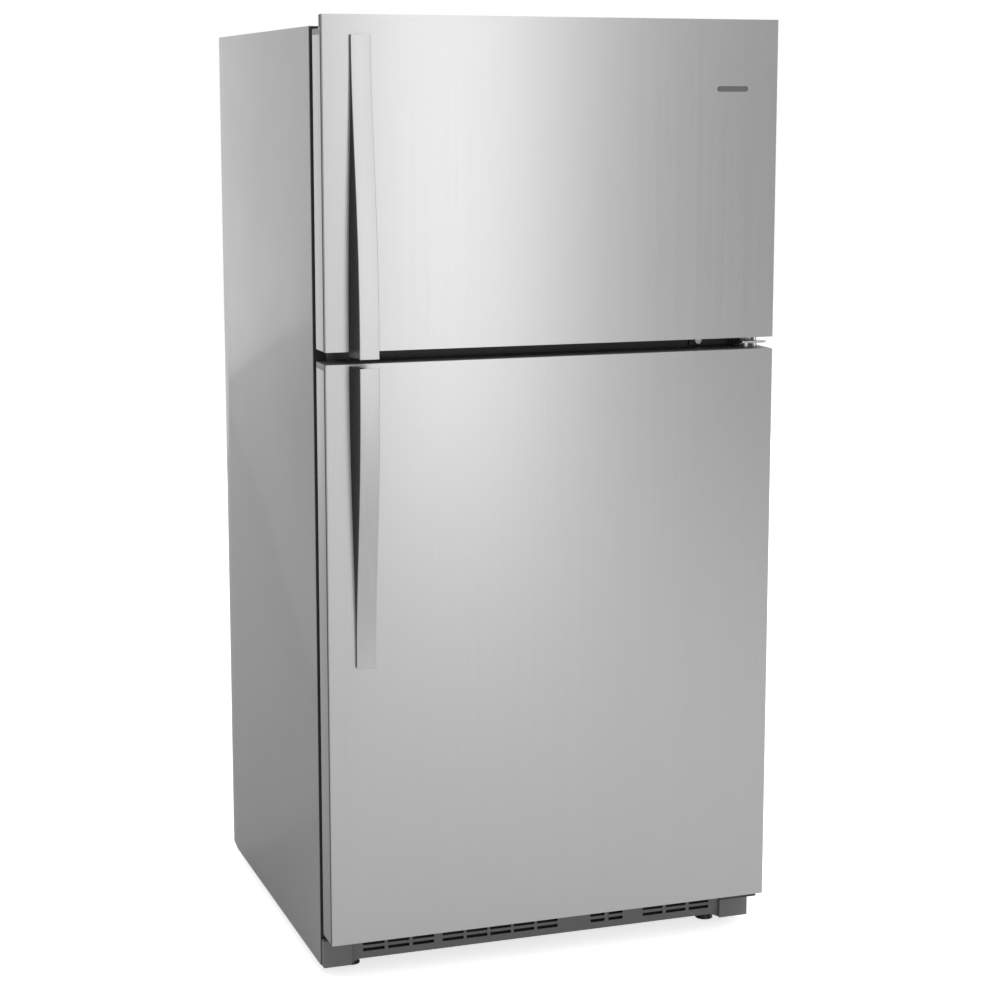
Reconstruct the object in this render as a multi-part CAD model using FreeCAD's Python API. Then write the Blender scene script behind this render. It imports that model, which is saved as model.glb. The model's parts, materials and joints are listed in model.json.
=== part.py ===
import FreeCAD, Part
import math
import os

from FreeCAD import Vector

os.makedirs("parts", exist_ok=True)

# Top freezer refrigerator, millimetres, +Z up, doors facing -Y.
# Solids are drawn with Y counted from the front plane of the doors, and moved at the end
# so that the origin is on the floor, under the middle of the whole appliance.

# Overall sizes
WIDTH = 832.0                 # cabinet, outside the side sheets
CABINET_HEIGHT = 1666.0       # floor to the top sheet
DEPTH = 786.0                 # front plane of the doors to the back panel
SHIFT_TO_DOOR = 16.0          # dark gap between the doors' backs and the cabinet front
DOOR_THICKNESS = 63.0

# Walls
SHEET = 1.2                   # painted steel of the cabinet
LINER = 2.5                   # vacuum-formed inner liners
SIDE_WALL = 45.0              # side sheet to the cavity
ROOF_WALL = 65.0
BACK_WALL = 60.0
FLOOR_HEIGHT = 132.0          # floor of the fridge cavity
MULLION = 70.0                # wall between the two cavities
FREEZER_CAVITY = 452.5        # height of the freezer cavity
LIP = 5.0                     # front lip of a liner, over the foam's edge
SHELL_BOTTOM = 17.0           # lower edge of the side sheets
REAR_CUT_LENGTH = 32.0        # slanted cut at each side sheet's lower rear corner
REAR_CUT_HEIGHT = 7.0

# Machine compartment at the lower back
MACHINE_DEPTH = 186.0
MACHINE_HEIGHT = 223.0
MACHINE_INSULATION = 40.0
PAN_LEVEL = 60.0              # underside of the base pan
PAN_SHEET = 2.0
PAN_RAIL_BOTTOM = 20.0
COVER_BOTTOM = 45.0
LOUVRE_PITCH = 18.0
LOUVRE_SLOT = 8.0
LOUVRE_FOOT = 70.0            # lowest louvre above the base pan
LOUVRE_HEAD = 20.0            # free strip over the highest louvre
LOUVRE_SIDE = 70.0            # louvres' ends to the cabinet's side
LOUVRE_MIDDLE = 60.0          # louvres' ends to the middle

# Doors
DOOR_INSET = 1.0              # door edge inside the cabinet's side
DOOR_SPLIT = 21.0             # gap between the two doors
DOOR_BOTTOM = 80.0
SKIN = 1.0
SKIN_CORNER = 9.0             # radius of the skin's two front edges
CAP_HEIGHT = 10.0             # plastic end caps
TOP_CAP_DROP = 6.0            # freezer door's end cap below the cabinet top
TOP_LIP_RISE = 17.0           # freezer door's front lip above the cabinet top
TOP_LIP_DEPTH = 20.0
TOP_LIP_THIN = 4.0            # lip's depth in front of the hinge
DOOR_LINER = 2.0
RIDGE_INSET = 16.0            # liner ridge inside the cavity's edge
RIDGE_WIDTH = 25.0
RIDGE_DEPTH = 38.0
GASKET_INSET = 2.0            # gasket outside the cavity's edge
GASKET_WIDTH = 18.0
GASKET_CLEARANCE = 0.3

# Hinges, all on one vertical axis at the right
HINGE_INSET = 22.0            # axis to the door's edge
HINGE_DEPTH = 32.0            # axis behind the doors' front plane
PIN_RADIUS = 4.75
PIN_CLEARANCE = 0.05
PIN_GRIP = 9.0                # length of pin inside an end cap
HINGE_PLATE = 4.0
HINGE_PLATE_REACH = 50.0      # top hinge's plate, from the axis towards the middle
HINGE_PLATE_END = 6.0         # and past the axis
TOP_HINGE_SHEET = 3.0
TOP_HINGE_LENGTH = 71.0       # plate behind the cabinet's front
TOP_SCREWS = (22.0, 52.0)     # screws behind the cabinet's front
PIN_MARGIN = 10.0             # plate in front of the axis
HINGE_COVER_WALL = 2.0
HINGE_COVER_START = 8.0       # cover's front edge behind the axis
HINGE_COVER_HEIGHT = 15.0
FLANGE_REACH = 108.0          # middle hinge's flange, from the axis towards the middle
FLANGE_HALF_HEIGHT = 9.5
FLANGE_SCREW = 16.0           # screw to the flange's end
TONGUE_REACH = 29.0
TONGUE_MARGIN = 12.0          # lower brackets in front of the axis
BUSH_RADIUS = 6.0
BUSH_GAP = 1.0                # bush above the fridge door
STOP_OFFSET = 17.0            # stop's axis to the hinge's axis
BOTTOM_HINGE_DROP = 12.0      # plate's underside below the door
BOTTOM_HINGE_REACH = 55.0
BOTTOM_HINGE_LEG = 40.0
BOTTOM_SCREW_PITCH = 35.0
BOTTOM_SCREW_RISE = 15.0      # screws above the door's lower edge
HINGE_FLANGE = 3.0
BRACKET_SIDE = 4.0            # lower brackets inside the door's edge
SCREW_HEAD = 6.0              # half the width across a hexagonal head
SCREW_HEIGHT = 5.0

# Handles, on the left of the doors
HANDLE_INSET = 48.0
HANDLE_WIDTH = 34.0
HANDLE_SHEET = 3.0
HANDLE_REACH = 46.0           # stand-off at the end beside the door gap
HANDLE_FAR_REACH = 8.0        # stand-off at the other end
HANDLE_FLATNESS = 1.25        # how long the handle stays out before it falls to the door
WEB_WIDTH = 10.0
FREEZER_HANDLE_LENGTH = 535.0
FREEZER_HANDLE_DROP = 9.0     # reaches below the freezer door's lower edge
FRIDGE_HANDLE_LENGTH = 523.0
FRIDGE_HANDLE_DROP = 3.0      # starts below the fridge door's upper edge
HANDLE_STATIONS = 9           # points that carry the handle's curve

# Shelves, bins and drawers
WALL = 2.5
FIT = 3.0                     # clearance of shelves and drawers in the cavities
SUPPORT_DEPTH = 8.0           # ribs on the liners, under the shelves
SUPPORT_HEIGHT = 6.0
SHELF_THICKNESS = 14.0
SHELF_RIM = 22.0
GLASS = 4.0
FRIDGE_SHELF_FRONT = 175.0
FREEZER_SHELF_FRONT = 155.0
FREEZER_SHELF_GAP = 7.0       # shelf to the evaporator's cover
CROSS_BAR = 5.0               # half the side of a square bar
WIRES = 23
WIRE_RADIUS = 2.0
WIRE_MARGIN = 12.0            # outer wires to the shelf's ends
FRIDGE_SHELVES = 2
FRIDGE_BINS = 3
FRIDGE_BIN_BACK = 165.0
FRIDGE_BIN_HEIGHT = 100.0
FREEZER_BINS = 2
FREEZER_BIN_BACK = 140.0
FREEZER_BIN_HEIGHT = 90.0
BIN_SIDE_GAP = 4.0
BIN_FOOT_GAP = 2.0
DAIRY_HEIGHT = 105.0
DAIRY_TOP_GAP = 52.0
DAIRY_BACK = 148.0
DAIRY_SHARE_FROM = 60.0       # left edge of the dairy bin, from the middle
LID_SHEET = 2.5
LID_PIN_RADIUS = 2.5
LID_EAR = 4.0                 # half the side of the ears that hold the lid's pins
EAR_WIDTH = 6.0
CRISPER_FRONT = 178.0
CRISPER_HEIGHT = 175.0
CRISPER_LIFT = 8.0
CRISPER_BETWEEN = 12.0
CRISPER_SIDE_GAP = 28.0       # leaves room beside the open door
CRISPER_BACK_GAP = 10.0
RUNNER_WIDTH = 12.0           # runners under a drawer
RUNNER_SIDE = 10.0
RUNNER_SET_IN = 20.0
RUNNER_GAP = 0.3
PULL_HALF = 60.0              # half the length of a drawer's pull
PULL_DEPTH = 8.0
PULL_THICKNESS = 6.0
PULL_DROP = 28.0              # below the drawer's rim

# Controls in the fridge cavity
CONTROL_HALF_WIDTH = 150.0
CONTROL_FRONT = 185.0
CONTROL_DEPTH = 130.0
CONTROL_HEIGHT = 42.0
DIAL_RADIUS = 17.0
DIAL_DEPTH = 14.0
DIAL_X = 95.0
DIAL_FACE = 3.0               # dial's front wall, and the height of its grip
DIAL_GRIP = 4.0
LAMP_HALF_WIDTH = 55.0
LAMP_SET_IN = 25.0            # lamp's cover inside the housing's front and back

# Cold air parts behind the freezer cavity's rear cover
EVAPORATOR_SPACE = 74.0
EVAPORATOR_COVER = 2.5
VENT_PITCH = 12.0
VENT_SLOT = 6.0
RETURN_SLOTS = 12             # air slots along the cover's foot
RETURN_SLOT = 28.0
RETURN_MARGIN = 40.0          # outer return slots to the cover's ends
EVAPORATOR_HALF_WIDTH = 270.0
EVAPORATOR_HEIGHT = 190.0
EVAPORATOR_DEPTH = 52.0
FIN_PITCH = 12.0
FIN_SHEET = 0.8
TUBE_RADIUS = 4.0
TUBE_ROWS = 4
TUBE_MARGIN = 13.0            # tubes' axes to the fins' front and back edges
TUBE_OVERHANG = 14.0          # end manifolds beyond the fins
EVAPORATOR_GAP = 12.0         # coil to the back of the cover
EVAPORATOR_LIFT = 30.0        # coil above the freezer's floor
FREEZER_FAN_RADIUS = 55.0
FREEZER_FAN_DROP = 95.0       # fan's axis below the freezer cavity's roof
FAN_GAP = 3.0
FREEZER_FAN_GAP = 8.0         # fan behind the cover
FREEZER_FAN_DEPTH = 18.0
FREEZER_MOTOR_RADIUS = 22.0
BLADES = 5
BLADE_START = 0.2             # shares of a fan's radius: where the blades start,
BLADE_SHARE = 0.17            # half a blade's width,
HUB_SHARE = 0.3               # and the hub
BLADE_SHEET = 2.0
BLADE_TILT = 24.0
SHAFT = 3.0                   # radius of the fans' and the dial's shafts

# Machine parts
COMPRESSOR_RADIUS = 75.0
COMPRESSOR_HEIGHT = 165.0
COMPRESSOR_X = -225.0
COMPRESSOR_FOOT = 8.0
COMPRESSOR_DOME = 30.0        # height of the can's upper and lower ends
COMPRESSOR_PLATE = (85.0, 62.0)
COMPRESSOR_SHEET = 3.0
COMPRESSOR_FOOT_RADIUS = 9.0
COMPRESSOR_FOOT_INSET = 11.0
TERMINAL_BOX = (14.0, 28.0, 50.0)
MACHINE_FAN_RADIUS = 68.0
MACHINE_FAN_X = -95.0
MACHINE_FAN_DEPTH = 20.0
MACHINE_FAN_LIFT = 24.0       # lowest point of the fan above the base pan
MACHINE_MOTOR_RADIUS = 26.0
MACHINE_MOTOR_LENGTH = 38.0
FRAME_EDGE = 7.0              # fan frame outside and inside the blades' circle
FRAME_SHEET = 2.0
FRAME_ARM = 10.0
CONDENSER_FIRST_X = 0.0
CONDENSER_LAST_X = 230.0
CONDENSER_ROWS = 6
CONDENSER_COLUMNS = 5
CONDENSER_PITCH = 22.0
CONDENSER_TUBE = 2.5
CONDENSER_SHEET = 1.5
CONDENSER_MARGIN = 27.0       # coil to the compartment's front and back
DRAIN_WALL = 2.0
DRAIN_HEIGHT = 22.0
DRAIN_GAP = 4.0               # tray to the condenser's end plates
DRAIN_MARGIN = 14.0           # tray to the compartment's front and back
GLAND_X = 320.0
GLAND_HEIGHT = 105.0
GLAND_RADIUS = 13.0
GLAND_NECK = 10.0
CORD_BORE = 4.6
GLAND_LENGTH = 14.0

# What the appliance stands on
SUPPORT_X = 350.0
LEG_Y = 118.0
LEG_FOOT_RADIUS = 17.0
LEG_FOOT_TOP = 14.0
LEG_FOOT_HEIGHT = 9.0
LEG_STEM_RADIUS = 5.0
LEG_BOSS_RADIUS = 10.0
LEG_BOSS_HEIGHT = 28.0
LEG_STEM_TOP_GAP = 3.0
ROLLER_RADIUS = 20.0
ROLLER_WIDTH = 22.0
ROLLER_FROM_BACK = 52.0
AXLE_RADIUS = 4.0
CHEEK = 3.0
CHEEK_HALF = 15.0
ROLLER_SIDE_GAP = 0.5

# Toe grille
GRILLE_TOP = 66.0
GRILLE_BOTTOM = 16.0
GRILLE_MIDDLE_BOTTOM = 22.0
GRILLE_END_FRONT = 63.0
GRILLE_FRONT = 72.0
GRILLE_SHEET = 3.0
GRILLE_LEFT_END = 52.0
GRILLE_RIGHT_END = 57.0
GRILLE_SLOPE = 15.0
SLOT_HEIGHT = 5.5
SLOT_ROWS = (38.0, 49.0)
# (first slot's place from the left end, how many, slot length, pitch)
SLOT_GROUPS = ((75.0, 3, 40.0, 46.7), (225.0, 5, 40.0, 45.6), (513.0, 2, 28.0, 36.0), (618.0, 3, 40.0, 47.0))

# Levels and planes worked out from the sizes above
HALF = WIDTH / 2
CAVITY_HALF = HALF - SIDE_WALL
DOOR_HALF = HALF - DOOR_INSET
FRONT = DOOR_THICKNESS + SHIFT_TO_DOOR
CAVITY_BACK = DEPTH - BACK_WALL
FREEZER_TOP = CABINET_HEIGHT - ROOF_WALL
FREEZER_FLOOR = FREEZER_TOP - FREEZER_CAVITY
FRIDGE_TOP = FREEZER_FLOOR - MULLION
SPLIT_LEVEL = FREEZER_FLOOR - MULLION / 2
FREEZER_DOOR_BOTTOM = SPLIT_LEVEL + DOOR_SPLIT / 2
FREEZER_DOOR_TOP = CABINET_HEIGHT - TOP_CAP_DROP
FRIDGE_DOOR_TOP = SPLIT_LEVEL - DOOR_SPLIT / 2
PAN_TOP = PAN_LEVEL + PAN_SHEET
MACHINE_FRONT = DEPTH - MACHINE_DEPTH
MACHINE_TOP = PAN_TOP + MACHINE_HEIGHT
HUMP_FRONT = MACHINE_FRONT - MACHINE_INSULATION
HUMP_TOP = MACHINE_TOP + MACHINE_INSULATION
HINGE_X = DOOR_HALF - HINGE_INSET
HANDLE_X = -DOOR_HALF + HANDLE_INSET
ORIGIN_Y = (DEPTH - HANDLE_REACH) / 2
MACHINE_Y = (MACHINE_FRONT + DEPTH) / 2

FREEZER_SHELF = (FREEZER_FLOOR + FREEZER_TOP) / 2
SHELF_PITCH = (FRIDGE_TOP - HUMP_TOP) / (FRIDGE_SHELVES + 1)
SHELF_LEVELS = [HUMP_TOP + SHELF_PITCH * (i + 1) for i in range(FRIDGE_SHELVES)]


def save(name, shape):
    """Write one sub-part, moved to the appliance's own origin."""
    shape.translated(Vector(0, -ORIGIN_Y, 0)).exportStep("parts/%s.step" % name)
    print("%-24s %9.1f cm3  solids %d" % (name, shape.Volume / 1000, len(shape.Solids)))


def box(x0, x1, y0, y1, z0, z1):
    """A block between two values on each axis."""
    return Part.makeBox(x1 - x0, y1 - y0, z1 - z0, Vector(x0, y0, z0))


def rod(radius, start, direction, length):
    """A round bar from a start point along a direction."""
    return Part.makeCylinder(radius, length, Vector(*start), Vector(*direction))


def union(shapes):
    """Several touching solids made one."""
    return shapes[0].multiFuse(shapes[1:]).removeSplitter()


def pair(shape):
    """A solid and its mirror image on the other side of the middle plane."""
    return [shape, shape.mirror(Vector(0, 0, 0), Vector(1, 0, 0))]


def prism_x(outline, x0, x1):
    """A (y, z) outline carried from x0 to x1."""
    points = [Vector(x0, y, z) for y, z in outline]
    return Part.Face(Part.makePolygon(points + points[:1])).extrude(Vector(x1 - x0, 0, 0))


def prism_y(outline, y0, y1):
    """An (x, z) outline carried from y0 to y1."""
    points = [Vector(x, y0, z) for x, z in outline]
    return Part.Face(Part.makePolygon(points + points[:1])).extrude(Vector(0, y1 - y0, 0))


def front_rounded(half, y0, y1, z0, z1, radius):
    """A block whose two upright front edges are rounded."""
    c = radius * (1 - math.sqrt(0.5))
    side = half - radius
    left = Part.Arc(Vector(-half, y0 + radius, z0), Vector(c - half, y0 + c, z0), Vector(-side, y0, z0))
    right = Part.Arc(Vector(side, y0, z0), Vector(half - c, y0 + c, z0), Vector(half, y0 + radius, z0))
    edges = [
        left.toShape(),
        Part.makeLine(Vector(-half + radius, y0, z0), Vector(half - radius, y0, z0)),
        right.toShape(),
        Part.makeLine(Vector(half, y0 + radius, z0), Vector(half, y1, z0)),
        Part.makeLine(Vector(half, y1, z0), Vector(-half, y1, z0)),
        Part.makeLine(Vector(-half, y1, z0), Vector(-half, y0 + radius, z0)),
    ]
    return Part.Face(Part.Wire(edges)).extrude(Vector(0, 0, z1 - z0))


def ring(half, z0, z1, width, y0, y1):
    """A rectangular frame in the XZ plane, given by its outer edges."""
    outer = box(-half, half, y0, y1, z0, z1)
    return outer.cut(box(-half + width, half - width, y0, y1, z0 + width, z1 - width))


def tray(x0, x1, y0, y1, z0, z1, wall):
    """An open-topped box with equal walls and floor."""
    return box(x0, x1, y0, y1, z0, z1).cut(box(x0 + wall, x1 - wall, y0 + wall, y1 - wall, z0 + wall, z1))


# Cabinet

def cabinet_shell():
    """Painted U-sheet over the sides and top, turned in at the front."""
    shell = box(-HALF, HALF, FRONT, DEPTH - SHEET, SHELL_BOTTOM, CABINET_HEIGHT)
    shell = shell.cut(box(-HALF + SHEET, HALF - SHEET, FRONT + SHEET, DEPTH, 0, CABINET_HEIGHT - SHEET))
    shell = shell.cut(box(-CAVITY_HALF - LIP, CAVITY_HALF + LIP, FRONT, FRONT + SHEET, 0, FREEZER_TOP + LIP))
    rear = DEPTH - SHEET
    corner = [(rear - REAR_CUT_LENGTH, SHELL_BOTTOM), (rear, SHELL_BOTTOM),
              (rear, SHELL_BOTTOM + REAR_CUT_HEIGHT)]
    return shell.cut(prism_x(corner, -HALF, HALF))


def back_panel():
    """Flat sheet that closes the foam at the back."""
    return box(-HALF, HALF, DEPTH - SHEET, DEPTH, MACHINE_TOP, CABINET_HEIGHT)


def machine_cover():
    """Louvred sheet over the machine compartment."""
    cover = box(-HALF, HALF, DEPTH - SHEET, DEPTH, COVER_BOTTOM, MACHINE_TOP)
    first = PAN_TOP + LOUVRE_FOOT
    rows = int((MACHINE_TOP - LOUVRE_HEAD - first) / LOUVRE_PITCH)
    far = HALF - LOUVRE_SIDE
    for row in range(rows):
        z = first + row * LOUVRE_PITCH
        for x0, x1 in ((-far, -LOUVRE_MIDDLE), (LOUVRE_MIDDLE, far)):
            cover = cover.cut(box(x0, x1, DEPTH - 2 * SHEET, DEPTH, z, z + LOUVRE_SLOT))
    gland = rod(GLAND_NECK, (GLAND_X, DEPTH - 2 * SHEET, GLAND_HEIGHT), (0, 1, 0), 3 * SHEET)
    return cover.cut(gland)


def mullion_rail():
    """Dark strip on the front of the wall between the cavities."""
    half = CAVITY_HALF + LIP
    return box(-half, half, FRONT, FRONT + SHEET, FRIDGE_TOP + LIP, FREEZER_FLOOR - LIP)


def side_ribs(y0, y1, level):
    """Two ribs on the side walls that carry a shelf whose underside is at the level."""
    inner = CAVITY_HALF - SUPPORT_DEPTH
    return pair(box(inner, CAVITY_HALF + LINER / 2, y0, y1, level - SUPPORT_HEIGHT, level))


def liner(outer, inner, z0, z1):
    """A formed liner: skin between two side outlines, with a lip round its mouth."""
    half = CAVITY_HALF
    shell = prism_x(outer, -half - LINER, half + LINER).cut(prism_x(inner, -half, half))
    lip = box(-half - LIP, half + LIP, FRONT, FRONT + SHEET, z0 - LIP, z1 + LIP)
    return union([shell, lip.cut(box(-half, half, FRONT, FRONT + SHEET, z0, z1))])


def freezer_liner():
    """White liner of the freezer cavity, with ribs for its shelf."""
    def outline(grow):
        return [(FRONT, FREEZER_FLOOR - grow), (CAVITY_BACK + grow, FREEZER_FLOOR - grow),
                (CAVITY_BACK + grow, FREEZER_TOP + grow), (FRONT, FREEZER_TOP + grow)]
    shell = liner(outline(LINER), outline(0), FREEZER_FLOOR, FREEZER_TOP)
    ribs = side_ribs(FREEZER_SHELF_FRONT + 10, CAVITY_BACK - EVAPORATOR_SPACE - 10, FREEZER_SHELF)
    return union([shell] + ribs)


def fridge_liner():
    """White liner of the fridge cavity, stepped over the machine compartment."""
    def outline(grow):
        return [(FRONT, FLOOR_HEIGHT - grow), (HUMP_FRONT + grow, FLOOR_HEIGHT - grow),
                (HUMP_FRONT + grow, HUMP_TOP - grow), (CAVITY_BACK + grow, HUMP_TOP - grow),
                (CAVITY_BACK + grow, FRIDGE_TOP + grow), (FRONT, FRIDGE_TOP + grow)]
    shell = liner(outline(LINER), outline(0), FLOOR_HEIGHT, FRIDGE_TOP)
    ribs = side_ribs(FRIDGE_SHELF_FRONT + 10, HUMP_FRONT, HUMP_TOP)
    for level in SHELF_LEVELS:
        ribs += side_ribs(FRIDGE_SHELF_FRONT + 10, CAVITY_BACK - 20, level)
    return union([shell] + ribs)


def insulation_slabs():
    """Foam between the sheets and the liners, one slab for each wall."""
    half = CAVITY_HALF + LINER
    y0 = FRONT + SHEET
    y1 = CAVITY_BACK + LINER
    rear = DEPTH - SHEET
    top = CABINET_HEIGHT - SHEET
    hump = HUMP_FRONT + LINER
    return {
        "insulation_sides": Part.makeCompound(pair(box(half, HALF - SHEET, y0, rear, PAN_TOP, top))),
        "insulation_roof": box(-half, half, y0, y1, FREEZER_TOP + LINER, top),
        "insulation_back": box(-half, half, y1, rear, HUMP_TOP - LINER, top),
        "insulation_mullion": box(-half, half, y0, y1, FRIDGE_TOP + LINER, FREEZER_FLOOR - LINER),
        "insulation_floor": union([
            box(-half, half, y0, hump, PAN_TOP, FLOOR_HEIGHT - LINER),
            box(-half, half, hump, MACHINE_FRONT, PAN_TOP, MACHINE_TOP),
            box(-half, half, hump, rear, MACHINE_TOP, HUMP_TOP - LINER),
        ]),
    }


def base_pan():
    """Steel pan under the cabinet, with side rails, a front rail and two leg bosses."""
    half = HALF - SHEET
    y0 = FRONT + SHEET
    rail = union([
        box(half - PAN_SHEET, half, y0, DEPTH - SHEET - REAR_CUT_LENGTH, PAN_RAIL_BOTTOM, PAN_LEVEL),
        box(CAVITY_HALF + LIP, half, y0, y0 + PAN_SHEET, PAN_RAIL_BOTTOM, PAN_LEVEL),
    ])
    front = box(-CAVITY_HALF - LIP, CAVITY_HALF + LIP, FRONT, FRONT + SHEET, PAN_LEVEL, FLOOR_HEIGHT - LIP)
    pan = box(-half, half, y0, DEPTH - SHEET, PAN_LEVEL, PAN_TOP)
    bosses = []
    for x in (-SUPPORT_X, SUPPORT_X):
        foot = (x, LEG_Y, PAN_LEVEL - LEG_BOSS_HEIGHT)
        boss = rod(LEG_BOSS_RADIUS, foot, (0, 0, 1), LEG_BOSS_HEIGHT)
        bosses.append(boss.cut(rod(LEG_STEM_RADIUS + PIN_CLEARANCE, foot, (0, 0, 1), LEG_BOSS_HEIGHT)))
    return union([pan, front] + pair(rail) + bosses)


def toe_grille():
    """Slotted plastic grille under the fridge door, with a block at each end."""
    left = -HALF + 2
    right = HALF - 2
    low = GRILLE_BOTTOM
    middle = GRILLE_MIDDLE_BOTTOM
    x0 = left + GRILLE_LEFT_END
    x1 = right - GRILLE_RIGHT_END
    outline = [(left, low), (x0, low), (x0 + GRILLE_SLOPE, middle), (x1 - GRILLE_SLOPE, middle), (x1, low),
               (right, low), (right, GRILLE_TOP), (left, GRILLE_TOP)]
    body = prism_y(outline, GRILLE_FRONT, FRONT)
    hollow = box(left + GRILLE_SHEET, right - GRILLE_SHEET, GRILLE_FRONT + GRILLE_SHEET, FRONT,
                 0, GRILLE_TOP - GRILLE_SHEET)
    ends = [box(left, x0, GRILLE_END_FRONT, GRILLE_FRONT, low, GRILLE_TOP),
            box(x1, right, GRILLE_END_FRONT, GRILLE_FRONT, low, GRILLE_TOP)]
    grille = union([body.cut(hollow)] + ends)
    slots = []
    for first, count, length, pitch in SLOT_GROUPS:
        for i in range(count):
            x = left + first + i * pitch
            if x + length > x1 - GRILLE_SLOPE:
                continue
            for z in SLOT_ROWS:
                slots.append(box(x, x + length, GRILLE_FRONT - 1, GRILLE_FRONT + 2 * GRILLE_SHEET,
                                 z - SLOT_HEIGHT / 2, z + SLOT_HEIGHT / 2))
    return grille.cut(Part.makeCompound(slots))


# Doors

def bored(shape, z0, z1):
    """A solid with the hinge pin's bore through it between two levels."""
    return shape.cut(rod(PIN_RADIUS + PIN_CLEARANCE, (HINGE_X, HINGE_DEPTH, z0), (0, 0, 1), z1 - z0))


def door_skin(z0, z1):
    """Bent steel sheet: a door's front and two sides."""
    outer = front_rounded(DOOR_HALF, 0, DOOR_THICKNESS - DOOR_LINER, z0, z1, SKIN_CORNER)
    inner = front_rounded(DOOR_HALF - SKIN, SKIN, DOOR_THICKNESS, z0, z1, SKIN_CORNER - SKIN)
    return outer.cut(inner)


def ridge(cavity_z0, cavity_z1, sheet):
    """Ring that plugs a cavity's mouth, smaller all round by the thickness of a sheet over it."""
    inset = RIDGE_INSET + sheet
    return ring(CAVITY_HALF - inset, cavity_z0 + inset, cavity_z1 - inset, RIDGE_WIDTH - 2 * sheet,
                DOOR_THICKNESS - DOOR_LINER, DOOR_THICKNESS + RIDGE_DEPTH - sheet)


def door_foam(z0, z1, cavity_z0, cavity_z1):
    """Foam that fills a door, and the ridge that plugs the cavity's mouth."""
    slab = front_rounded(DOOR_HALF - SKIN, SKIN, DOOR_THICKNESS - DOOR_LINER,
                         z0 + CAP_HEIGHT, z1 - CAP_HEIGHT, SKIN_CORNER - SKIN)
    return union([slab, ridge(cavity_z0, cavity_z1, DOOR_LINER)])


def door_liner(z0, z1, cavity_z0, cavity_z1):
    """White inner face of a door, raised in a ridge round its bins."""
    plate = box(-DOOR_HALF, DOOR_HALF, DOOR_THICKNESS - DOOR_LINER, DOOR_THICKNESS,
                z0 + CAP_HEIGHT, z1 - CAP_HEIGHT)
    return union([plate, ridge(cavity_z0, cavity_z1, 0)]).cut(ridge(cavity_z0, cavity_z1, DOOR_LINER))


def end_cap(z0):
    """Plastic cap that closes a door's end, bored for a hinge pin."""
    cap = front_rounded(DOOR_HALF - SKIN, SKIN, DOOR_THICKNESS, z0, z0 + CAP_HEIGHT, SKIN_CORNER - SKIN)
    return bored(cap, z0, z0 + CAP_HEIGHT)


def gasket(cavity_z0, cavity_z1):
    """Magnetic seal between a door and the cabinet's front."""
    grow = GASKET_INSET + GASKET_WIDTH
    return ring(CAVITY_HALF + grow, cavity_z0 - grow, cavity_z1 + grow, GASKET_WIDTH,
                DOOR_THICKNESS, FRONT - GASKET_CLEARANCE)


def freezer_lip():
    """Raised front edge of the freezer door, thin in front of the hinge."""
    z0 = FREEZER_DOOR_TOP
    z1 = CABINET_HEIGHT + TOP_LIP_RISE
    lip = front_rounded(DOOR_HALF, 0, TOP_LIP_DEPTH, z0, z1, SKIN_CORNER)
    beside_hinge = box(HINGE_X - HINGE_PLATE_REACH - FIT, HALF, TOP_LIP_THIN, TOP_LIP_DEPTH, z0, z1)
    return lip.cut(beside_hinge)


def lip_riser():
    """Part of the freezer door's upper cap that fills the lip."""
    inside = front_rounded(DOOR_HALF - SKIN, SKIN, TOP_LIP_DEPTH, FREEZER_DOOR_TOP,
                           CABINET_HEIGHT + TOP_LIP_RISE - SKIN, SKIN_CORNER - SKIN)
    return inside.common(freezer_lip())


def freezer_skin():
    """Freezer door's steel, whose front rises in a lip above the cabinet top."""
    return union([door_skin(FREEZER_DOOR_BOTTOM, FREEZER_DOOR_TOP), freezer_lip().cut(lip_riser())])


# Handles

def stand_off(s):
    """Handle's reach at a share s of its length from the door gap: a stretched half cosine."""
    drop = (1 + math.cos(math.pi * s ** HANDLE_FLATNESS)) / 2
    return HANDLE_FAR_REACH + (HANDLE_REACH - HANDLE_FAR_REACH) * drop


def handle_edge(gap_end, far_end, depth):
    """Smooth edge in the YZ plane, a depth behind the handle's front."""
    shares = [i / (HANDLE_STATIONS - 1) for i in range(HANDLE_STATIONS)]
    points = [Vector(0, depth - stand_off(s), gap_end + (far_end - gap_end) * s) for s in shares]
    curve = Part.BSplineCurve()
    curve.interpolate(points)
    return curve.toShape()


def handle_band(gap_end, far_end, front, back, x0, x1):
    """Solid between two smooth edges, or between one and the door's face, from x0 to x1."""
    near = handle_edge(gap_end, far_end, front)
    if back is None:
        far = Part.makeLine(Vector(0, 0, gap_end), Vector(0, 0, far_end))
    else:
        far = handle_edge(gap_end, far_end, back)
    ends = [Part.makeLine(near.Vertexes[i].Point, far.Vertexes[i].Point) for i in (0, 1)]
    face = Part.Face(Part.Wire(Part.__sortEdges__([near, ends[1], far, ends[0]])))
    return face.extrude(Vector(x1 - x0, 0, 0)).translated(Vector(x0, 0, 0))


def handle(gap_end, far_end):
    """Steel strip of a handle and the dark web that holds it to the door."""
    strip = handle_band(gap_end, far_end, 0, HANDLE_SHEET, HANDLE_X, HANDLE_X + HANDLE_WIDTH)
    web = handle_band(gap_end, far_end, HANDLE_SHEET, None, HANDLE_X, HANDLE_X + WEB_WIDTH)
    return strip, web


# Hinges

def hex_screw(x, y, z, direction):
    """Hexagonal head that stands on a plate."""
    radius = SCREW_HEAD / math.cos(math.pi / 6)
    angles = [math.pi / 3 * i for i in range(6)]
    corners = [Vector(radius * math.cos(a), radius * math.sin(a), 0) for a in angles]
    head = Part.Face(Part.makePolygon(corners + corners[:1])).extrude(Vector(0, 0, SCREW_HEIGHT))
    if direction == "front":
        head.rotate(Vector(0, 0, 0), Vector(1, 0, 0), 90)
    return head.translated(Vector(x, y, z))


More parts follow.
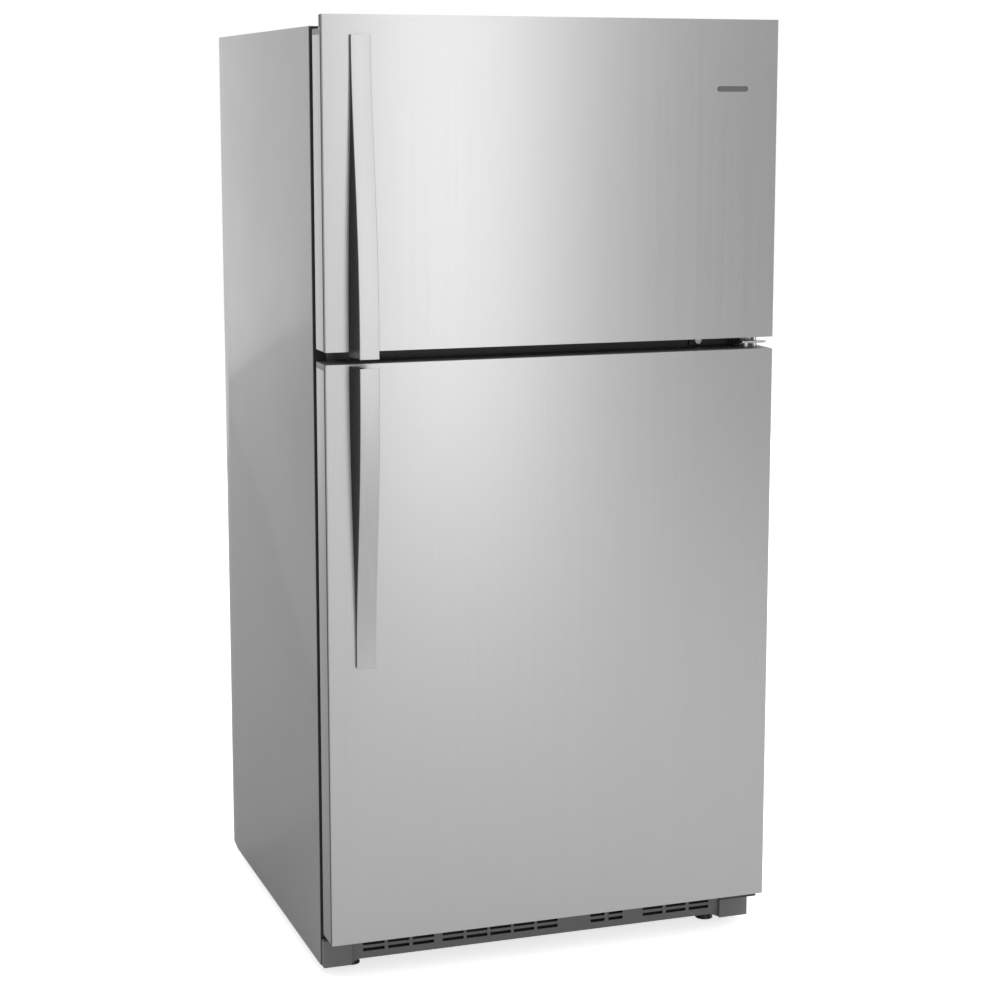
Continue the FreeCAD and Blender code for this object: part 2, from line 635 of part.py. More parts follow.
def top_hinge():
    """Plate on the cabinet top whose pin holds the freezer door."""
    z = CABINET_HEIGHT
    plate = box(HINGE_X - HINGE_PLATE_REACH, HINGE_X + HINGE_PLATE_END, HINGE_DEPTH - PIN_MARGIN,
                FRONT + TOP_HINGE_LENGTH, z, z + TOP_HINGE_SHEET)
    pin_foot = FREEZER_DOOR_TOP - PIN_GRIP
    pin = rod(PIN_RADIUS, (HINGE_X, HINGE_DEPTH, pin_foot), (0, 0, 1), z - pin_foot)
    return union([plate, pin])


def hinge_cover():
    """Plastic cap over the top hinge."""
    z = CABINET_HEIGHT
    wall = HINGE_COVER_WALL
    x0 = HINGE_X - HINGE_PLATE_REACH
    x1 = HINGE_X + HINGE_PLATE_END
    y0 = HINGE_DEPTH + HINGE_COVER_START
    y1 = FRONT + TOP_HINGE_LENGTH
    outer = box(x0 - wall, x1 + wall, y0, y1 + wall, z, z + HINGE_COVER_HEIGHT)
    inner = box(x0, x1, y0, y1, z, z + HINGE_COVER_HEIGHT - wall)
    mouth = box(x0 - wall, x1 + wall, y0, FRONT, z, z + TOP_HINGE_SHEET)
    return outer.cut(inner).cut(mouth)


def center_hinge():
    """Plated bracket between the doors, with a pin up and a pin down."""
    low = SPLIT_LEVEL - HINGE_PLATE / 2
    high = SPLIT_LEVEL + HINGE_PLATE / 2
    side = DOOR_HALF - BRACKET_SIDE
    flange = box(HINGE_X - FLANGE_REACH, side, FRONT - HINGE_FLANGE, FRONT,
                 SPLIT_LEVEL - FLANGE_HALF_HEIGHT, SPLIT_LEVEL + FLANGE_HALF_HEIGHT)
    plate = box(HINGE_X - TONGUE_REACH, side, HINGE_DEPTH - TONGUE_MARGIN, FRONT - HINGE_FLANGE, low, high)
    upper = rod(PIN_RADIUS, (HINGE_X, HINGE_DEPTH, high), (0, 0, 1), FREEZER_DOOR_BOTTOM + PIN_GRIP - high)
    foot = FRIDGE_DOOR_TOP - PIN_GRIP
    lower = rod(PIN_RADIUS, (HINGE_X, HINGE_DEPTH, foot), (0, 0, 1), low - foot)
    z = FRIDGE_DOOR_TOP + BUSH_GAP
    bush = rod(BUSH_RADIUS, (HINGE_X, HINGE_DEPTH, z), (0, 0, 1), low - z)
    stop = rod(BUSH_RADIUS, (HINGE_X - STOP_OFFSET, HINGE_DEPTH, z), (0, 0, 1), low - z)
    return union([flange, plate, upper, lower, bush, stop])


def bottom_hinge():
    """Plated bracket under the fridge door."""
    z = DOOR_BOTTOM - BOTTOM_HINGE_DROP
    x0 = HINGE_X - BOTTOM_HINGE_REACH
    x1 = DOOR_HALF - BRACKET_SIDE
    plate = box(x0, x1, HINGE_DEPTH - TONGUE_MARGIN, FRONT, z, z + HINGE_PLATE)
    leg = box(x0, x1, FRONT - HINGE_FLANGE, FRONT, z, z + BOTTOM_HINGE_LEG)
    pin = rod(PIN_RADIUS, (HINGE_X, HINGE_DEPTH, z + HINGE_PLATE), (0, 0, 1),
              DOOR_BOTTOM + PIN_GRIP - z - HINGE_PLATE)
    return union([plate, leg, pin])


def hinge_screws():
    """Hexagonal screws of the three hinges."""
    screws = [hex_screw(HINGE_X - FLANGE_REACH + FLANGE_SCREW, FRONT - HINGE_FLANGE, SPLIT_LEVEL, "front")]
    for x in (HINGE_X - BOTTOM_SCREW_PITCH, HINGE_X):
        screws.append(hex_screw(x, FRONT - HINGE_FLANGE, DOOR_BOTTOM + BOTTOM_SCREW_RISE, "front"))
    for y in TOP_SCREWS:
        screws.append(hex_screw(HINGE_X - HINGE_INSET, FRONT + y, CABINET_HEIGHT + TOP_HINGE_SHEET, "up"))
    return Part.makeCompound(screws)


# Shelves, bins and drawers

def rimmed_shelf(y0, y1, level):
    """Plastic frame of a shelf, rebated for its glass."""
    half = CAVITY_HALF - FIT
    frame = box(-half, half, y0, y1, level, level + SHELF_THICKNESS)
    rim = SHELF_RIM
    window = box(-half + rim, half - rim, y0 + rim, y1 - rim, level, level + SHELF_THICKNESS)
    return frame.cut(window).cut(shelf_glass(y0, y1, level))


def shelf_glass(y0, y1, level):
    """Glass plate let into the top of a shelf frame."""
    inset = SHELF_RIM / 2
    half = CAVITY_HALF - FIT - inset
    top = level + SHELF_THICKNESS
    return box(-half, half, y0 + inset, y1 - inset, top - GLASS, top)


def freezer_shelf():
    """Wire shelf of the freezer: two cross bars, and rods from front to back."""
    half = CAVITY_HALF - FIT
    y0 = FREEZER_SHELF_FRONT
    y1 = CAVITY_BACK - EVAPORATOR_SPACE - FREEZER_SHELF_GAP
    bar = CROSS_BAR
    bars = [box(-half, half, y - bar, y + bar, FREEZER_SHELF, FREEZER_SHELF + 2 * bar)
            for y in (y0 + bar, (y0 + y1) / 2, y1 - bar)]
    first = -half + WIRE_MARGIN
    for i in range(WIRES):
        x = first - 2 * first * i / (WIRES - 1)
        bars.append(rod(WIRE_RADIUS, (x, y0 + 1, FREEZER_SHELF + bar), (0, 1, 0), y1 - y0 - 2))
    return union(bars)


def bins(cavity_z0, top_limit, count, back, height):
    """Open bins on a door's liner, evenly spaced up to a level."""
    half = CAVITY_HALF - RIDGE_INSET - RIDGE_WIDTH - BIN_SIDE_GAP
    first = cavity_z0 + RIDGE_INSET + RIDGE_WIDTH + BIN_FOOT_GAP
    pitch = (top_limit - first) / count
    levels = [first + pitch * i for i in range(count)]
    return Part.makeCompound([tray(-half, half, DOOR_THICKNESS, back, z, z + height, WALL) for z in levels])


def dairy_level():
    """Floor of the dairy bin, hung from the top of the fridge door's ridge."""
    return FRIDGE_TOP - RIDGE_INSET - RIDGE_WIDTH - DAIRY_TOP_GAP - DAIRY_HEIGHT


def dairy_bin():
    """Covered bin at the top of the fridge door, open towards the shelves."""
    z = dairy_level()
    x0 = DAIRY_SHARE_FROM
    x1 = CAVITY_HALF - RIDGE_INSET - RIDGE_WIDTH - BIN_SIDE_GAP
    outer = box(x0, x1, DOOR_THICKNESS, DAIRY_BACK, z, z + DAIRY_HEIGHT)
    inner = box(x0 + WALL, x1 - WALL, DOOR_THICKNESS + WALL, DAIRY_BACK, z + WALL, z + DAIRY_HEIGHT - WALL)
    top = z + DAIRY_HEIGHT
    ear = LID_EAR
    pin = LID_PIN_RADIUS + PIN_CLEARANCE
    ears = []
    bores = []
    for x in (x0, x1 - EAR_WIDTH):
        ears.append(box(x, x + EAR_WIDTH, DAIRY_BACK, DAIRY_BACK + 2 * ear, top - 2 * ear, top))
        bores.append(rod(pin, (x, DAIRY_BACK + ear, top - ear), (1, 0, 0), EAR_WIDTH))
    return union([outer.cut(inner)] + ears).cut(Part.makeCompound(bores))


def dairy_lid():
    """Clear flap that hangs in front of the dairy bin on two short pins."""
    z = dairy_level()
    x0 = DAIRY_SHARE_FROM
    x1 = CAVITY_HALF - RIDGE_INSET - RIDGE_WIDTH - BIN_SIDE_GAP
    y = DAIRY_BACK + LID_EAR
    top = z + DAIRY_HEIGHT - LID_EAR
    side = EAR_WIDTH + 1
    flap = box(x0 + side, x1 - side, y - LID_SHEET / 2, y + LID_SHEET / 2, z + FIT, top)
    pins = rod(LID_PIN_RADIUS, (x0 + 1, y, top), (1, 0, 0), x1 - x0 - 2)
    return union([flap, pins])


def crisper(sign):
    """Clear drawer under the lowest shelf, with a pull on its front."""
    inner = CRISPER_BETWEEN / 2
    outer = CAVITY_HALF - CRISPER_SIDE_GAP
    x0, x1 = (inner, outer) if sign > 0 else (-outer, -inner)
    z = FLOOR_HEIGHT + CRISPER_LIFT
    back = HUMP_FRONT - CRISPER_BACK_GAP
    body = tray(x0, x1, CRISPER_FRONT, back, z, z + CRISPER_HEIGHT, WALL)
    y0 = CRISPER_FRONT
    feet = [box(x, x + RUNNER_WIDTH, y0 + RUNNER_SET_IN, back - RUNNER_SET_IN, FLOOR_HEIGHT + RUNNER_GAP, z)
            for x in (x0 + RUNNER_SIDE, x1 - RUNNER_SIDE - RUNNER_WIDTH)]
    middle = (x0 + x1) / 2
    top = z + CRISPER_HEIGHT - PULL_DROP
    pull = box(middle - PULL_HALF, middle + PULL_HALF, y0 - PULL_DEPTH, y0, top - PULL_THICKNESS, top)
    return union([body, pull] + feet)


def control_housing():
    """White housing on the fridge cavity's roof, with a window for the lamp."""
    z1 = FRIDGE_TOP
    z0 = z1 - CONTROL_HEIGHT
    y1 = CONTROL_FRONT + CONTROL_DEPTH
    half = CONTROL_HALF_WIDTH
    shell = box(-half, half, CONTROL_FRONT, y1, z0, z1)
    shell = shell.cut(box(-half + WALL, half - WALL, CONTROL_FRONT + WALL, y1 - WALL, z0 + WALL, z1))
    shaft_front = CONTROL_FRONT - DIAL_DEPTH + DIAL_FACE
    shaft = rod(SHAFT, (DIAL_X, shaft_front, (z0 + z1) / 2), (0, 1, 0), CONTROL_FRONT - shaft_front)
    return union([shell.cut(lamp_cover()), shaft])


def temperature_dial():
    """Knob that sets the cavity's temperature."""
    z = FRIDGE_TOP - CONTROL_HEIGHT / 2
    y0 = CONTROL_FRONT - DIAL_DEPTH
    knob = rod(DIAL_RADIUS, (DIAL_X, y0, z), (0, 1, 0), DIAL_DEPTH - 1)
    half = DIAL_RADIUS - DIAL_FACE
    grip = box(DIAL_X - DIAL_GRIP / 2, DIAL_X + DIAL_GRIP / 2, y0 - DIAL_FACE, y0, z - half, z + half)
    bore = rod(SHAFT + PIN_CLEARANCE, (DIAL_X, y0 + DIAL_FACE - PIN_CLEARANCE, z), (0, 1, 0), DIAL_DEPTH)
    return union([knob, grip]).cut(bore)


def lamp_cover():
    """Clear cover of the fridge lamp."""
    z0 = FRIDGE_TOP - CONTROL_HEIGHT
    y0 = CONTROL_FRONT + LAMP_SET_IN
    y1 = CONTROL_FRONT + CONTROL_DEPTH - LAMP_SET_IN
    return box(-LAMP_HALF_WIDTH, LAMP_HALF_WIDTH, y0, y1, z0, z0 + WALL)


# Cold air parts

def evaporator_cover():
    """Panel at the back of the freezer, with a fan outlet and return slots."""
    y0 = CAVITY_BACK - EVAPORATOR_SPACE
    half = CAVITY_HALF - 1
    y1 = y0 + EVAPORATOR_COVER
    panel = box(-half, half, y0, y1, FREEZER_FLOOR + 1, FREEZER_TOP - 1)
    axis_z = FREEZER_TOP - FREEZER_FAN_DROP
    slots = []
    reach = FREEZER_FAN_RADIUS - VENT_SLOT
    rows = int(2 * reach / VENT_PITCH)
    for i in range(rows + 1):
        z = axis_z - reach + i * VENT_PITCH
        half_slot = math.sqrt(max(reach ** 2 - (z - axis_z) ** 2, 0))
        if half_slot > VENT_PITCH:
            slots.append(box(-half_slot, half_slot, y0, y1, z - VENT_SLOT / 2, z + VENT_SLOT / 2))
    first = -half + RETURN_MARGIN
    z = FREEZER_FLOOR + VENT_PITCH
    for i in range(RETURN_SLOTS):
        x = first - 2 * first * i / (RETURN_SLOTS - 1)
        slots.append(box(x - RETURN_SLOT / 2, x + RETURN_SLOT / 2, y0, y1, z, z + VENT_SLOT))
    return panel.cut(Part.makeCompound(slots))


def evaporator_coil():
    """Finned aluminium coil: two passes of tube through upright fins."""
    y0 = CAVITY_BACK - EVAPORATOR_SPACE + EVAPORATOR_GAP
    y1 = y0 + EVAPORATOR_DEPTH
    z0 = FREEZER_FLOOR + EVAPORATOR_LIFT
    half = EVAPORATOR_HALF_WIDTH
    count = int(2 * half / FIN_PITCH)
    fins = [box(-half + i * FIN_PITCH, -half + i * FIN_PITCH + FIN_SHEET, y0, y1, z0, z0 + EVAPORATOR_HEIGHT)
            for i in range(count + 1)]
    tubes = []
    end = half + TUBE_OVERHANG
    for i in range(TUBE_ROWS):
        z = z0 + EVAPORATOR_HEIGHT * (i + 0.5) / TUBE_ROWS
        for y in (y0 + TUBE_MARGIN, y1 - TUBE_MARGIN):
            tubes.append(rod(TUBE_RADIUS, (-end, y, z), (1, 0, 0), 2 * end))
    r = TUBE_RADIUS
    margin = TUBE_MARGIN - r
    top = z0 + EVAPORATOR_HEIGHT
    bends = [box(x - r, x + r, y0 + margin, y1 - margin, z0 + TUBE_MARGIN, top - TUBE_MARGIN)
             for x in (-end, end)]
    return union(fins + tubes + bends)


def blades(center, direction, radius, length, count):
    """Fan wheel: a hub with flat tilted blades, bored for its shaft."""
    parts = [rod(radius * HUB_SHARE, (0, 0, 0), (0, 0, 1), length)]
    start = radius * BLADE_START
    half = radius * BLADE_SHARE
    middle = length / 2
    for i in range(count):
        blade = box(start, radius, -half, half, middle - BLADE_SHEET / 2, middle + BLADE_SHEET / 2)
        blade.rotate(Vector(0, 0, middle), Vector(1, 0, 0), BLADE_TILT)
        blade.rotate(Vector(0, 0, 0), Vector(0, 0, 1), 360.0 / count * i)
        parts.append(blade)
    wheel = union(parts).cut(rod(SHAFT + PIN_CLEARANCE, (0, 0, -1), (0, 0, 1), length + 2))
    turn = FreeCAD.Rotation(Vector(0, 0, 1), Vector(*direction))
    wheel.Placement = FreeCAD.Placement(Vector(*center), turn).multiply(wheel.Placement)
    return wheel


def freezer_fan_center():
    """Start of the evaporator fan's hub."""
    cover = CAVITY_BACK - EVAPORATOR_SPACE + EVAPORATOR_COVER
    return (0, cover + FREEZER_FAN_GAP, FREEZER_TOP - FREEZER_FAN_DROP)


def evaporator_fan():
    """Fan wheel that blows cold air through the cover."""
    return blades(freezer_fan_center(), (0, 1, 0), FREEZER_FAN_RADIUS - FAN_GAP, FREEZER_FAN_DEPTH, BLADES)


def evaporator_fan_motor():
    """Motor of the evaporator fan, fixed to the liner's back."""
    x, y, z = freezer_fan_center()
    front = y + FREEZER_FAN_DEPTH + FAN_GAP
    motor = rod(FREEZER_MOTOR_RADIUS, (x, front, z), (0, 1, 0), CAVITY_BACK - front)
    shaft = rod(SHAFT, (x, y + 1, z), (0, 1, 0), front - y)
    return union([motor, shaft])


# Machine parts

def compressor():
    """Welded steel can on three rubber feet and a base plate."""
    x = COMPRESSOR_X
    y = MACHINE_Y
    z = PAN_TOP + COMPRESSOR_FOOT
    r = COMPRESSOR_RADIUS
    dome_height = COMPRESSOR_DOME
    can = Part.makeCylinder(r, COMPRESSOR_HEIGHT - 2 * dome_height, Vector(x, y, z + dome_height))
    top = Part.makeSphere(r, Vector(0, 0, 0), Vector(0, 0, 1), 0, 90, 360)
    flatten = FreeCAD.Matrix()
    flatten.scale(1.0, 1.0, dome_height / r)
    dome = top.transformGeometry(flatten)
    upper = dome.translated(Vector(x, y, z + COMPRESSOR_HEIGHT - dome_height))
    lower = dome.mirror(Vector(0, 0, 0), Vector(0, 0, 1)).translated(Vector(x, y, z + dome_height))
    half_x, half_y = COMPRESSOR_PLATE
    plate = box(x - half_x, x + half_x, y - half_y, y + half_y, z, z + COMPRESSOR_SHEET)
    foot_x = half_x - COMPRESSOR_FOOT_INSET
    foot_y = half_y - COMPRESSOR_FOOT_INSET
    feet = [rod(COMPRESSOR_FOOT_RADIUS, (x + dx, y + dy, PAN_TOP), (0, 0, 1), 2 * COMPRESSOR_FOOT)
            for dx in (-foot_x, foot_x) for dy in (-foot_y, foot_y)]
    terminal = box(x + r - TERMINAL_BOX[0], x + r + TERMINAL_BOX[0], y - TERMINAL_BOX[1], y + TERMINAL_BOX[1],
                   z + COMPRESSOR_HEIGHT / 3, z + COMPRESSOR_HEIGHT / 3 + TERMINAL_BOX[2])
    return union([can, upper, lower, plate, terminal] + feet)


def condenser_coil():
    """Steel tube in flat layers, held by two end plates."""
    y0 = MACHINE_FRONT + CONDENSER_MARGIN
    y1 = DEPTH - CONDENSER_MARGIN
    z0 = PAN_TOP + DRAIN_HEIGHT + CONDENSER_PITCH
    x0 = CONDENSER_FIRST_X
    x1 = CONDENSER_LAST_X
    edge = CONDENSER_PITCH / 2
    tubes = []
    for i in range(CONDENSER_ROWS):
        z = z0 + i * CONDENSER_PITCH
        for j in range(CONDENSER_COLUMNS):
            y = y0 + edge + (y1 - y0 - 2 * edge) * j / (CONDENSER_COLUMNS - 1)
            tubes.append(rod(CONDENSER_TUBE, (x0, y, z), (1, 0, 0), x1 - x0))
    top = z0 + CONDENSER_ROWS * CONDENSER_PITCH - edge
    plates = [box(x, x + CONDENSER_SHEET, y0, y1, PAN_TOP, top) for x in (x0, x1 - CONDENSER_SHEET)]
    return union(plates + tubes)


def machine_fan_center():
    """Start of the condenser fan's hub."""
    return (MACHINE_FAN_X, MACHINE_Y, PAN_TOP + MACHINE_FAN_RADIUS + MACHINE_FAN_LIFT)


def condenser_fan():
    """Fan wheel that draws air over the condenser."""
    return blades(machine_fan_center(), (1, 0, 0), MACHINE_FAN_RADIUS - FAN_GAP, MACHINE_FAN_DEPTH, BLADES)


def condenser_fan_motor():
    """Motor and mounting plate of the condenser fan."""
    x, y, z = machine_fan_center()
    back = x + MACHINE_FAN_DEPTH + FAN_GAP
    motor = rod(MACHINE_MOTOR_RADIUS, (back, y, z), (1, 0, 0), MACHINE_MOTOR_LENGTH)
    shaft = rod(SHAFT, (x + 1, y, z), (1, 0, 0), back - x)
    r = MACHINE_FAN_RADIUS
    edge = r + FRAME_EDGE
    x0 = back + MACHINE_MOTOR_LENGTH / 3
    x1 = x0 + FRAME_SHEET
    frame = box(x0, x1, y - edge, y + edge, PAN_TOP, z + edge)
    hole = rod(r - FRAME_EDGE, (x0, y, z), (1, 0, 0), FRAME_SHEET)
    half = FRAME_ARM / 2
    arms = [box(x0, x1, y - dy, y + dy, z - dz, z + dz) for dy, dz in ((r, half), (half, r))]
    return union([motor, shaft, frame.cut(hole)] + arms)


def drain_pan():
    """Tray that dries the defrost water under the condenser."""
    return tray(CONDENSER_FIRST_X + DRAIN_GAP, CONDENSER_LAST_X - DRAIN_GAP, MACHINE_FRONT + DRAIN_MARGIN,
                DEPTH - DRAIN_MARGIN, PAN_TOP, PAN_TOP + DRAIN_HEIGHT, DRAIN_WALL)


def cord_gland():
    """Plastic bushing in the machine cover where the mains cord comes out."""
    y0 = DEPTH - SHEET - GLAND_LENGTH
    neck = rod(GLAND_NECK, (GLAND_X, y0, GLAND_HEIGHT), (0, 1, 0), GLAND_LENGTH + SHEET)
    collar = rod(GLAND_RADIUS, (GLAND_X, y0, GLAND_HEIGHT), (0, 1, 0), GLAND_LENGTH)
    bore = rod(CORD_BORE, (GLAND_X, y0, GLAND_HEIGHT), (0, 1, 0), GLAND_LENGTH + SHEET)
    return union([neck, collar]).cut(bore)


# What the appliance stands on

def leveling_leg(x):
    """Screw leg: a wide foot and a stem in the base pan's boss."""
    foot = Part.makeCone(LEG_FOOT_RADIUS, LEG_FOOT_TOP, LEG_FOOT_HEIGHT, Vector(x, LEG_Y, 0))
    stem = rod(LEG_STEM_RADIUS, (x, LEG_Y, LEG_FOOT_HEIGHT), (0, 0, 1),
               PAN_LEVEL - LEG_STEM_TOP_GAP - LEG_FOOT_HEIGHT)
    return union([foot, stem])


def roller(x):
    """Rear wheel, bored for its axle."""
    y = DEPTH - ROLLER_FROM_BACK
    wheel = rod(ROLLER_RADIUS, (x - ROLLER_WIDTH / 2, y, ROLLER_RADIUS), (1, 0, 0), ROLLER_WIDTH)
    bore = AXLE_RADIUS + PIN_CLEARANCE
    return wheel.cut(rod(bore, (x - ROLLER_WIDTH, y, ROLLER_RADIUS), (1, 0, 0), 2 * ROLLER_WIDTH))


def roller_brackets():
    """Forks under the base pan that hold the rear wheels' axles."""
    y = DEPTH - ROLLER_FROM_BACK
    forks = []
    for x in (-SUPPORT_X, SUPPORT_X):
        inner = ROLLER_WIDTH / 2 + ROLLER_SIDE_GAP
        cheeks = [box(c, c + CHEEK, y - CHEEK_HALF, y + CHEEK_HALF, ROLLER_RADIUS / 2, PAN_LEVEL)
                  for c in (x - inner - CHEEK, x + inner)]
        bridge = box(x - inner, x + inner, y - CHEEK_HALF, y + CHEEK_HALF, PAN_LEVEL - CHEEK, PAN_LEVEL)
        axle = rod(AXLE_RADIUS, (x - inner - CHEEK, y, ROLLER_RADIUS), (1, 0, 0), 2 * (inner + CHEEK))
        forks.append(union(cheeks + [bridge, axle]))
    return Part.makeCompound(forks)


# Write every sub-part

save("cabinet_shell", cabinet_shell())
save("back_panel", back_panel())
save("machine_cover", machine_cover())
save("mullion_rail", mullion_rail())
save("freezer_liner", freezer_liner())
save("fridge_liner", fridge_liner())
for slab_name, slab_shape in insulation_slabs().items():
    save(slab_name, slab_shape)
save("base_pan", base_pan())
save("toe_grille", toe_grille())

for door, bottom, top, cavity_bottom, cavity_top in (
        ("freezer", FREEZER_DOOR_BOTTOM, FREEZER_DOOR_TOP, FREEZER_FLOOR, FREEZER_TOP),
        ("fridge", DOOR_BOTTOM, FRIDGE_DOOR_TOP, FLOOR_HEIGHT, FRIDGE_TOP)):
    save(door + "_door_skin", freezer_skin() if door == "freezer" else door_skin(bottom, top))
    save(door + "_door_foam", door_foam(bottom, top, cavity_bottom, cavity_top))
    save(door + "_door_liner", door_liner(bottom, top, cavity_bottom, cavity_top))
    upper_cap = end_cap(top - CAP_HEIGHT)
    if door == "freezer":
        upper_cap = union([upper_cap, lip_riser()])
    save(door + "_door_caps", Part.makeCompound([end_cap(bottom), upper_cap]))
    save(door + "_gasket", gasket(cavity_bottom, cavity_top))

freezer_gap_end = FREEZER_DOOR_BOTTOM - FREEZER_HANDLE_DROP
fridge_gap_end = FRIDGE_DOOR_TOP - FRIDGE_HANDLE_DROP
for door, gap_end, far_end in (("freezer", freezer_gap_end, freezer_gap_end + FREEZER_HANDLE_LENGTH),
                               ("fridge", fridge_gap_end, fridge_gap_end - FRIDGE_HANDLE_LENGTH)):
    handle_strip, handle_web = handle(gap_end, far_end)
    save(door + "_handle", handle_strip)
    save(door + "_handle_grip", handle_web)

save("top_hinge", top_hinge())
save("hinge_cover", hinge_cover())
save("center_hinge", center_hinge())
save("bottom_hinge", bottom_hinge())
save("hinge_screws", hinge_screws())

save("freezer_shelf", freezer_shelf())
shelf_spans = [(FRIDGE_SHELF_FRONT, CAVITY_BACK - FIT, level) for level in [HUMP_TOP] + SHELF_LEVELS]
save("shelf_frames", Part.makeCompound([rimmed_shelf(*span) for span in shelf_spans]))
save("shelf_glasses", Part.makeCompound([shelf_glass(*span) for span in shelf_spans]))
save("freezer_bins", bins(FREEZER_FLOOR, FREEZER_TOP - RIDGE_INSET - RIDGE_WIDTH, FREEZER_BINS,
                          FREEZER_BIN_BACK, FREEZER_BIN_HEIGHT))
save("fridge_bins", bins(FLOOR_HEIGHT, dairy_level(), FRIDGE_BINS, FRIDGE_BIN_BACK, FRIDGE_BIN_HEIGHT))
save("dairy_bin", dairy_bin())
save("dairy_lid", dairy_lid())
save("crisper_left", crisper(-1))
save("crisper_right", crisper(1))
save("control_housing", control_housing())
save("temperature_dial", temperature_dial())
save("lamp_cover", lamp_cover())

save("evaporator_cover", evaporator_cover())
save("evaporator_coil", evaporator_coil())
save("evaporator_fan", evaporator_fan())
save("evaporator_fan_motor", evaporator_fan_motor())

save("compressor", compressor())
save("condenser_coil", condenser_coil())
save("condenser_fan", condenser_fan())
save("condenser_fan_motor", condenser_fan_motor())
save("drain_pan", drain_pan())
save("cord_gland", cord_gland())

save("leveling_leg_left", leveling_leg(-SUPPORT_X))
save("leveling_leg_right", leveling_leg(SUPPORT_X))
save("rear_roller_left", roller(-SUPPORT_X))
save("rear_roller_right", roller(SUPPORT_X))
save("roller_brackets", roller_brackets())
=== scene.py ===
# %% [markdown]
# # A top freezer refrigerator in brushed steel
# The fridge is a foam-filled box with two doors. What the eye reads is mostly metal: two large brushed
# doors that mirror the room in a soft blur, a painted cabinet behind them, and two long bowed handles.
# The engineering model gives every part its place; this lesson gives each part its surface.

# %% Load the engineering model
import bmesh
import bpy
import json
import math
import numpy as np
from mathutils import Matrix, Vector


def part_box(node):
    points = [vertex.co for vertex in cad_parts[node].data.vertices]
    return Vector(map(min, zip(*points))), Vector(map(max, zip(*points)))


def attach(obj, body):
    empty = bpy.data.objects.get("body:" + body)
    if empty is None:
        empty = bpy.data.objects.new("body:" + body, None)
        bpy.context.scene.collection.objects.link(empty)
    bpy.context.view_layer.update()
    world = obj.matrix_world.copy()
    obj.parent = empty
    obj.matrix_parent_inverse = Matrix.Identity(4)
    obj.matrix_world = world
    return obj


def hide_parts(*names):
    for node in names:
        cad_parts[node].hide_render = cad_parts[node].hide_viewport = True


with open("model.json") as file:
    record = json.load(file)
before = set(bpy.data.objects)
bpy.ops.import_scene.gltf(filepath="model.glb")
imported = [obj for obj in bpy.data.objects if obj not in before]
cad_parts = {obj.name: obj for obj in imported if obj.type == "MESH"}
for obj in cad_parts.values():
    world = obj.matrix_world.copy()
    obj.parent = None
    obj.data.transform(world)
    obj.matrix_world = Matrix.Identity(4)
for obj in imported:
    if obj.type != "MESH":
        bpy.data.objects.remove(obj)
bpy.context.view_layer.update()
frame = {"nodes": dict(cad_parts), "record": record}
MM = 0.001
SHARP = math.radians(32)

# %% [markdown]
# ## Measures
# Every place below comes from a node of the model. `span` gives a node's lowest and highest value on one
# axis, so a cavity, a door or a gap is read where it is needed instead of being typed again.

# %% Places read from the model
def span(node, axis):
    """Lowest and highest value of a node on axis 0, 1 or 2, in metres."""
    low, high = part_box(node)
    return low[axis], high[axis]


CABINET_HALF = span("cabinet_shell", 0)[1]
CABINET_FRONT = span("cabinet_shell", 1)[0]
CABINET_FOOT, CABINET_TOP = span("cabinet_shell", 2)
DOOR_HALF = span("fridge_door_foam", 0)[1] + 1 * MM
DOOR_FRONT = span("fridge_door_skin", 1)[0]
DOOR_BACK = span("fridge_door_skin", 1)[1]
DOOR_INNER = span("fridge_door_liner", 1)[1]
LINER = 2.5 * MM
CAVITY_HALF = span("insulation_roof", 0)[1] - LINER
CAVITY_BACK = span("insulation_back", 1)[0] - LINER
FREEZER_LOW = span("insulation_mullion", 2)[1] + LINER
FREEZER_HIGH = span("insulation_roof", 2)[0] - LINER
FRIDGE_LOW = span("fridge_liner", 2)[0] + 5 * MM
FRIDGE_HIGH = span("insulation_mullion", 2)[0] - LINER
HUMP_TOP = span("shelf_frames", 2)[0]
HUMP_FRONT = span("crisper_left", 1)[1] + 10 * MM
print("cavity half width", round(CAVITY_HALF, 4), "back", round(CAVITY_BACK, 4))

# %% [markdown]
# ## Colour
# A colour picker shows sRGB, but the renderer adds light in linear values. One function turns a hex colour
# into linear, so that the numbers in the materials stay the ones a person would pick.

# %% From hex to linear
def linear(code, alpha=1.0):
    """Linear RGBA of an sRGB hex colour: the standard curve, a line near black and a power above it."""
    value = np.array([int(code[i:i + 2], 16) for i in (1, 3, 5)]) / 255
    curve = np.where(value <= 0.04045, value / 12.92, ((value + 0.055) / 1.055) ** 2.4)
    return (*curve.tolist(), alpha)


# %% [markdown]
# ## One helper for shader nodes
# A material is a small graph. `add` puts one node in it: a plain value fills an input, and another node's
# output is linked to it. That is all the lesson needs, whatever the kind of node.

# %% Start a material and add nodes to it
def start(name):
    """A new material with an empty graph."""
    finish = bpy.data.materials.new(name)
    finish.use_nodes = True
    finish.node_tree.nodes.clear()
    return finish


def add(owner, kind, inputs, **fields):
    """One node: fields are its own settings, inputs are values or other nodes' outputs, by socket."""
    node = owner.node_tree.nodes.new(kind)
    for key, value in fields.items():
        setattr(node, key, value)
    for socket, value in inputs.items():
        if isinstance(value, bpy.types.NodeSocket):
            owner.node_tree.links.new(value, node.inputs[socket])
        else:
            node.inputs[socket].default_value = value
    return node


def pattern(finish, kind, spacing, **inputs):
    """A texture in object space whose features are spacing = (x, y, z) apart, in millimetres."""
    place = add(finish, "ShaderNodeTexCoord", {})
    scale = tuple(1 / (s * MM) for s in spacing)
    turned = add(finish, "ShaderNodeMapping", {"Vector": place.outputs["Object"], "Scale": scale})
    return add(finish, kind, {"Vector": turned.outputs[0], "Scale": 1.0, **inputs})


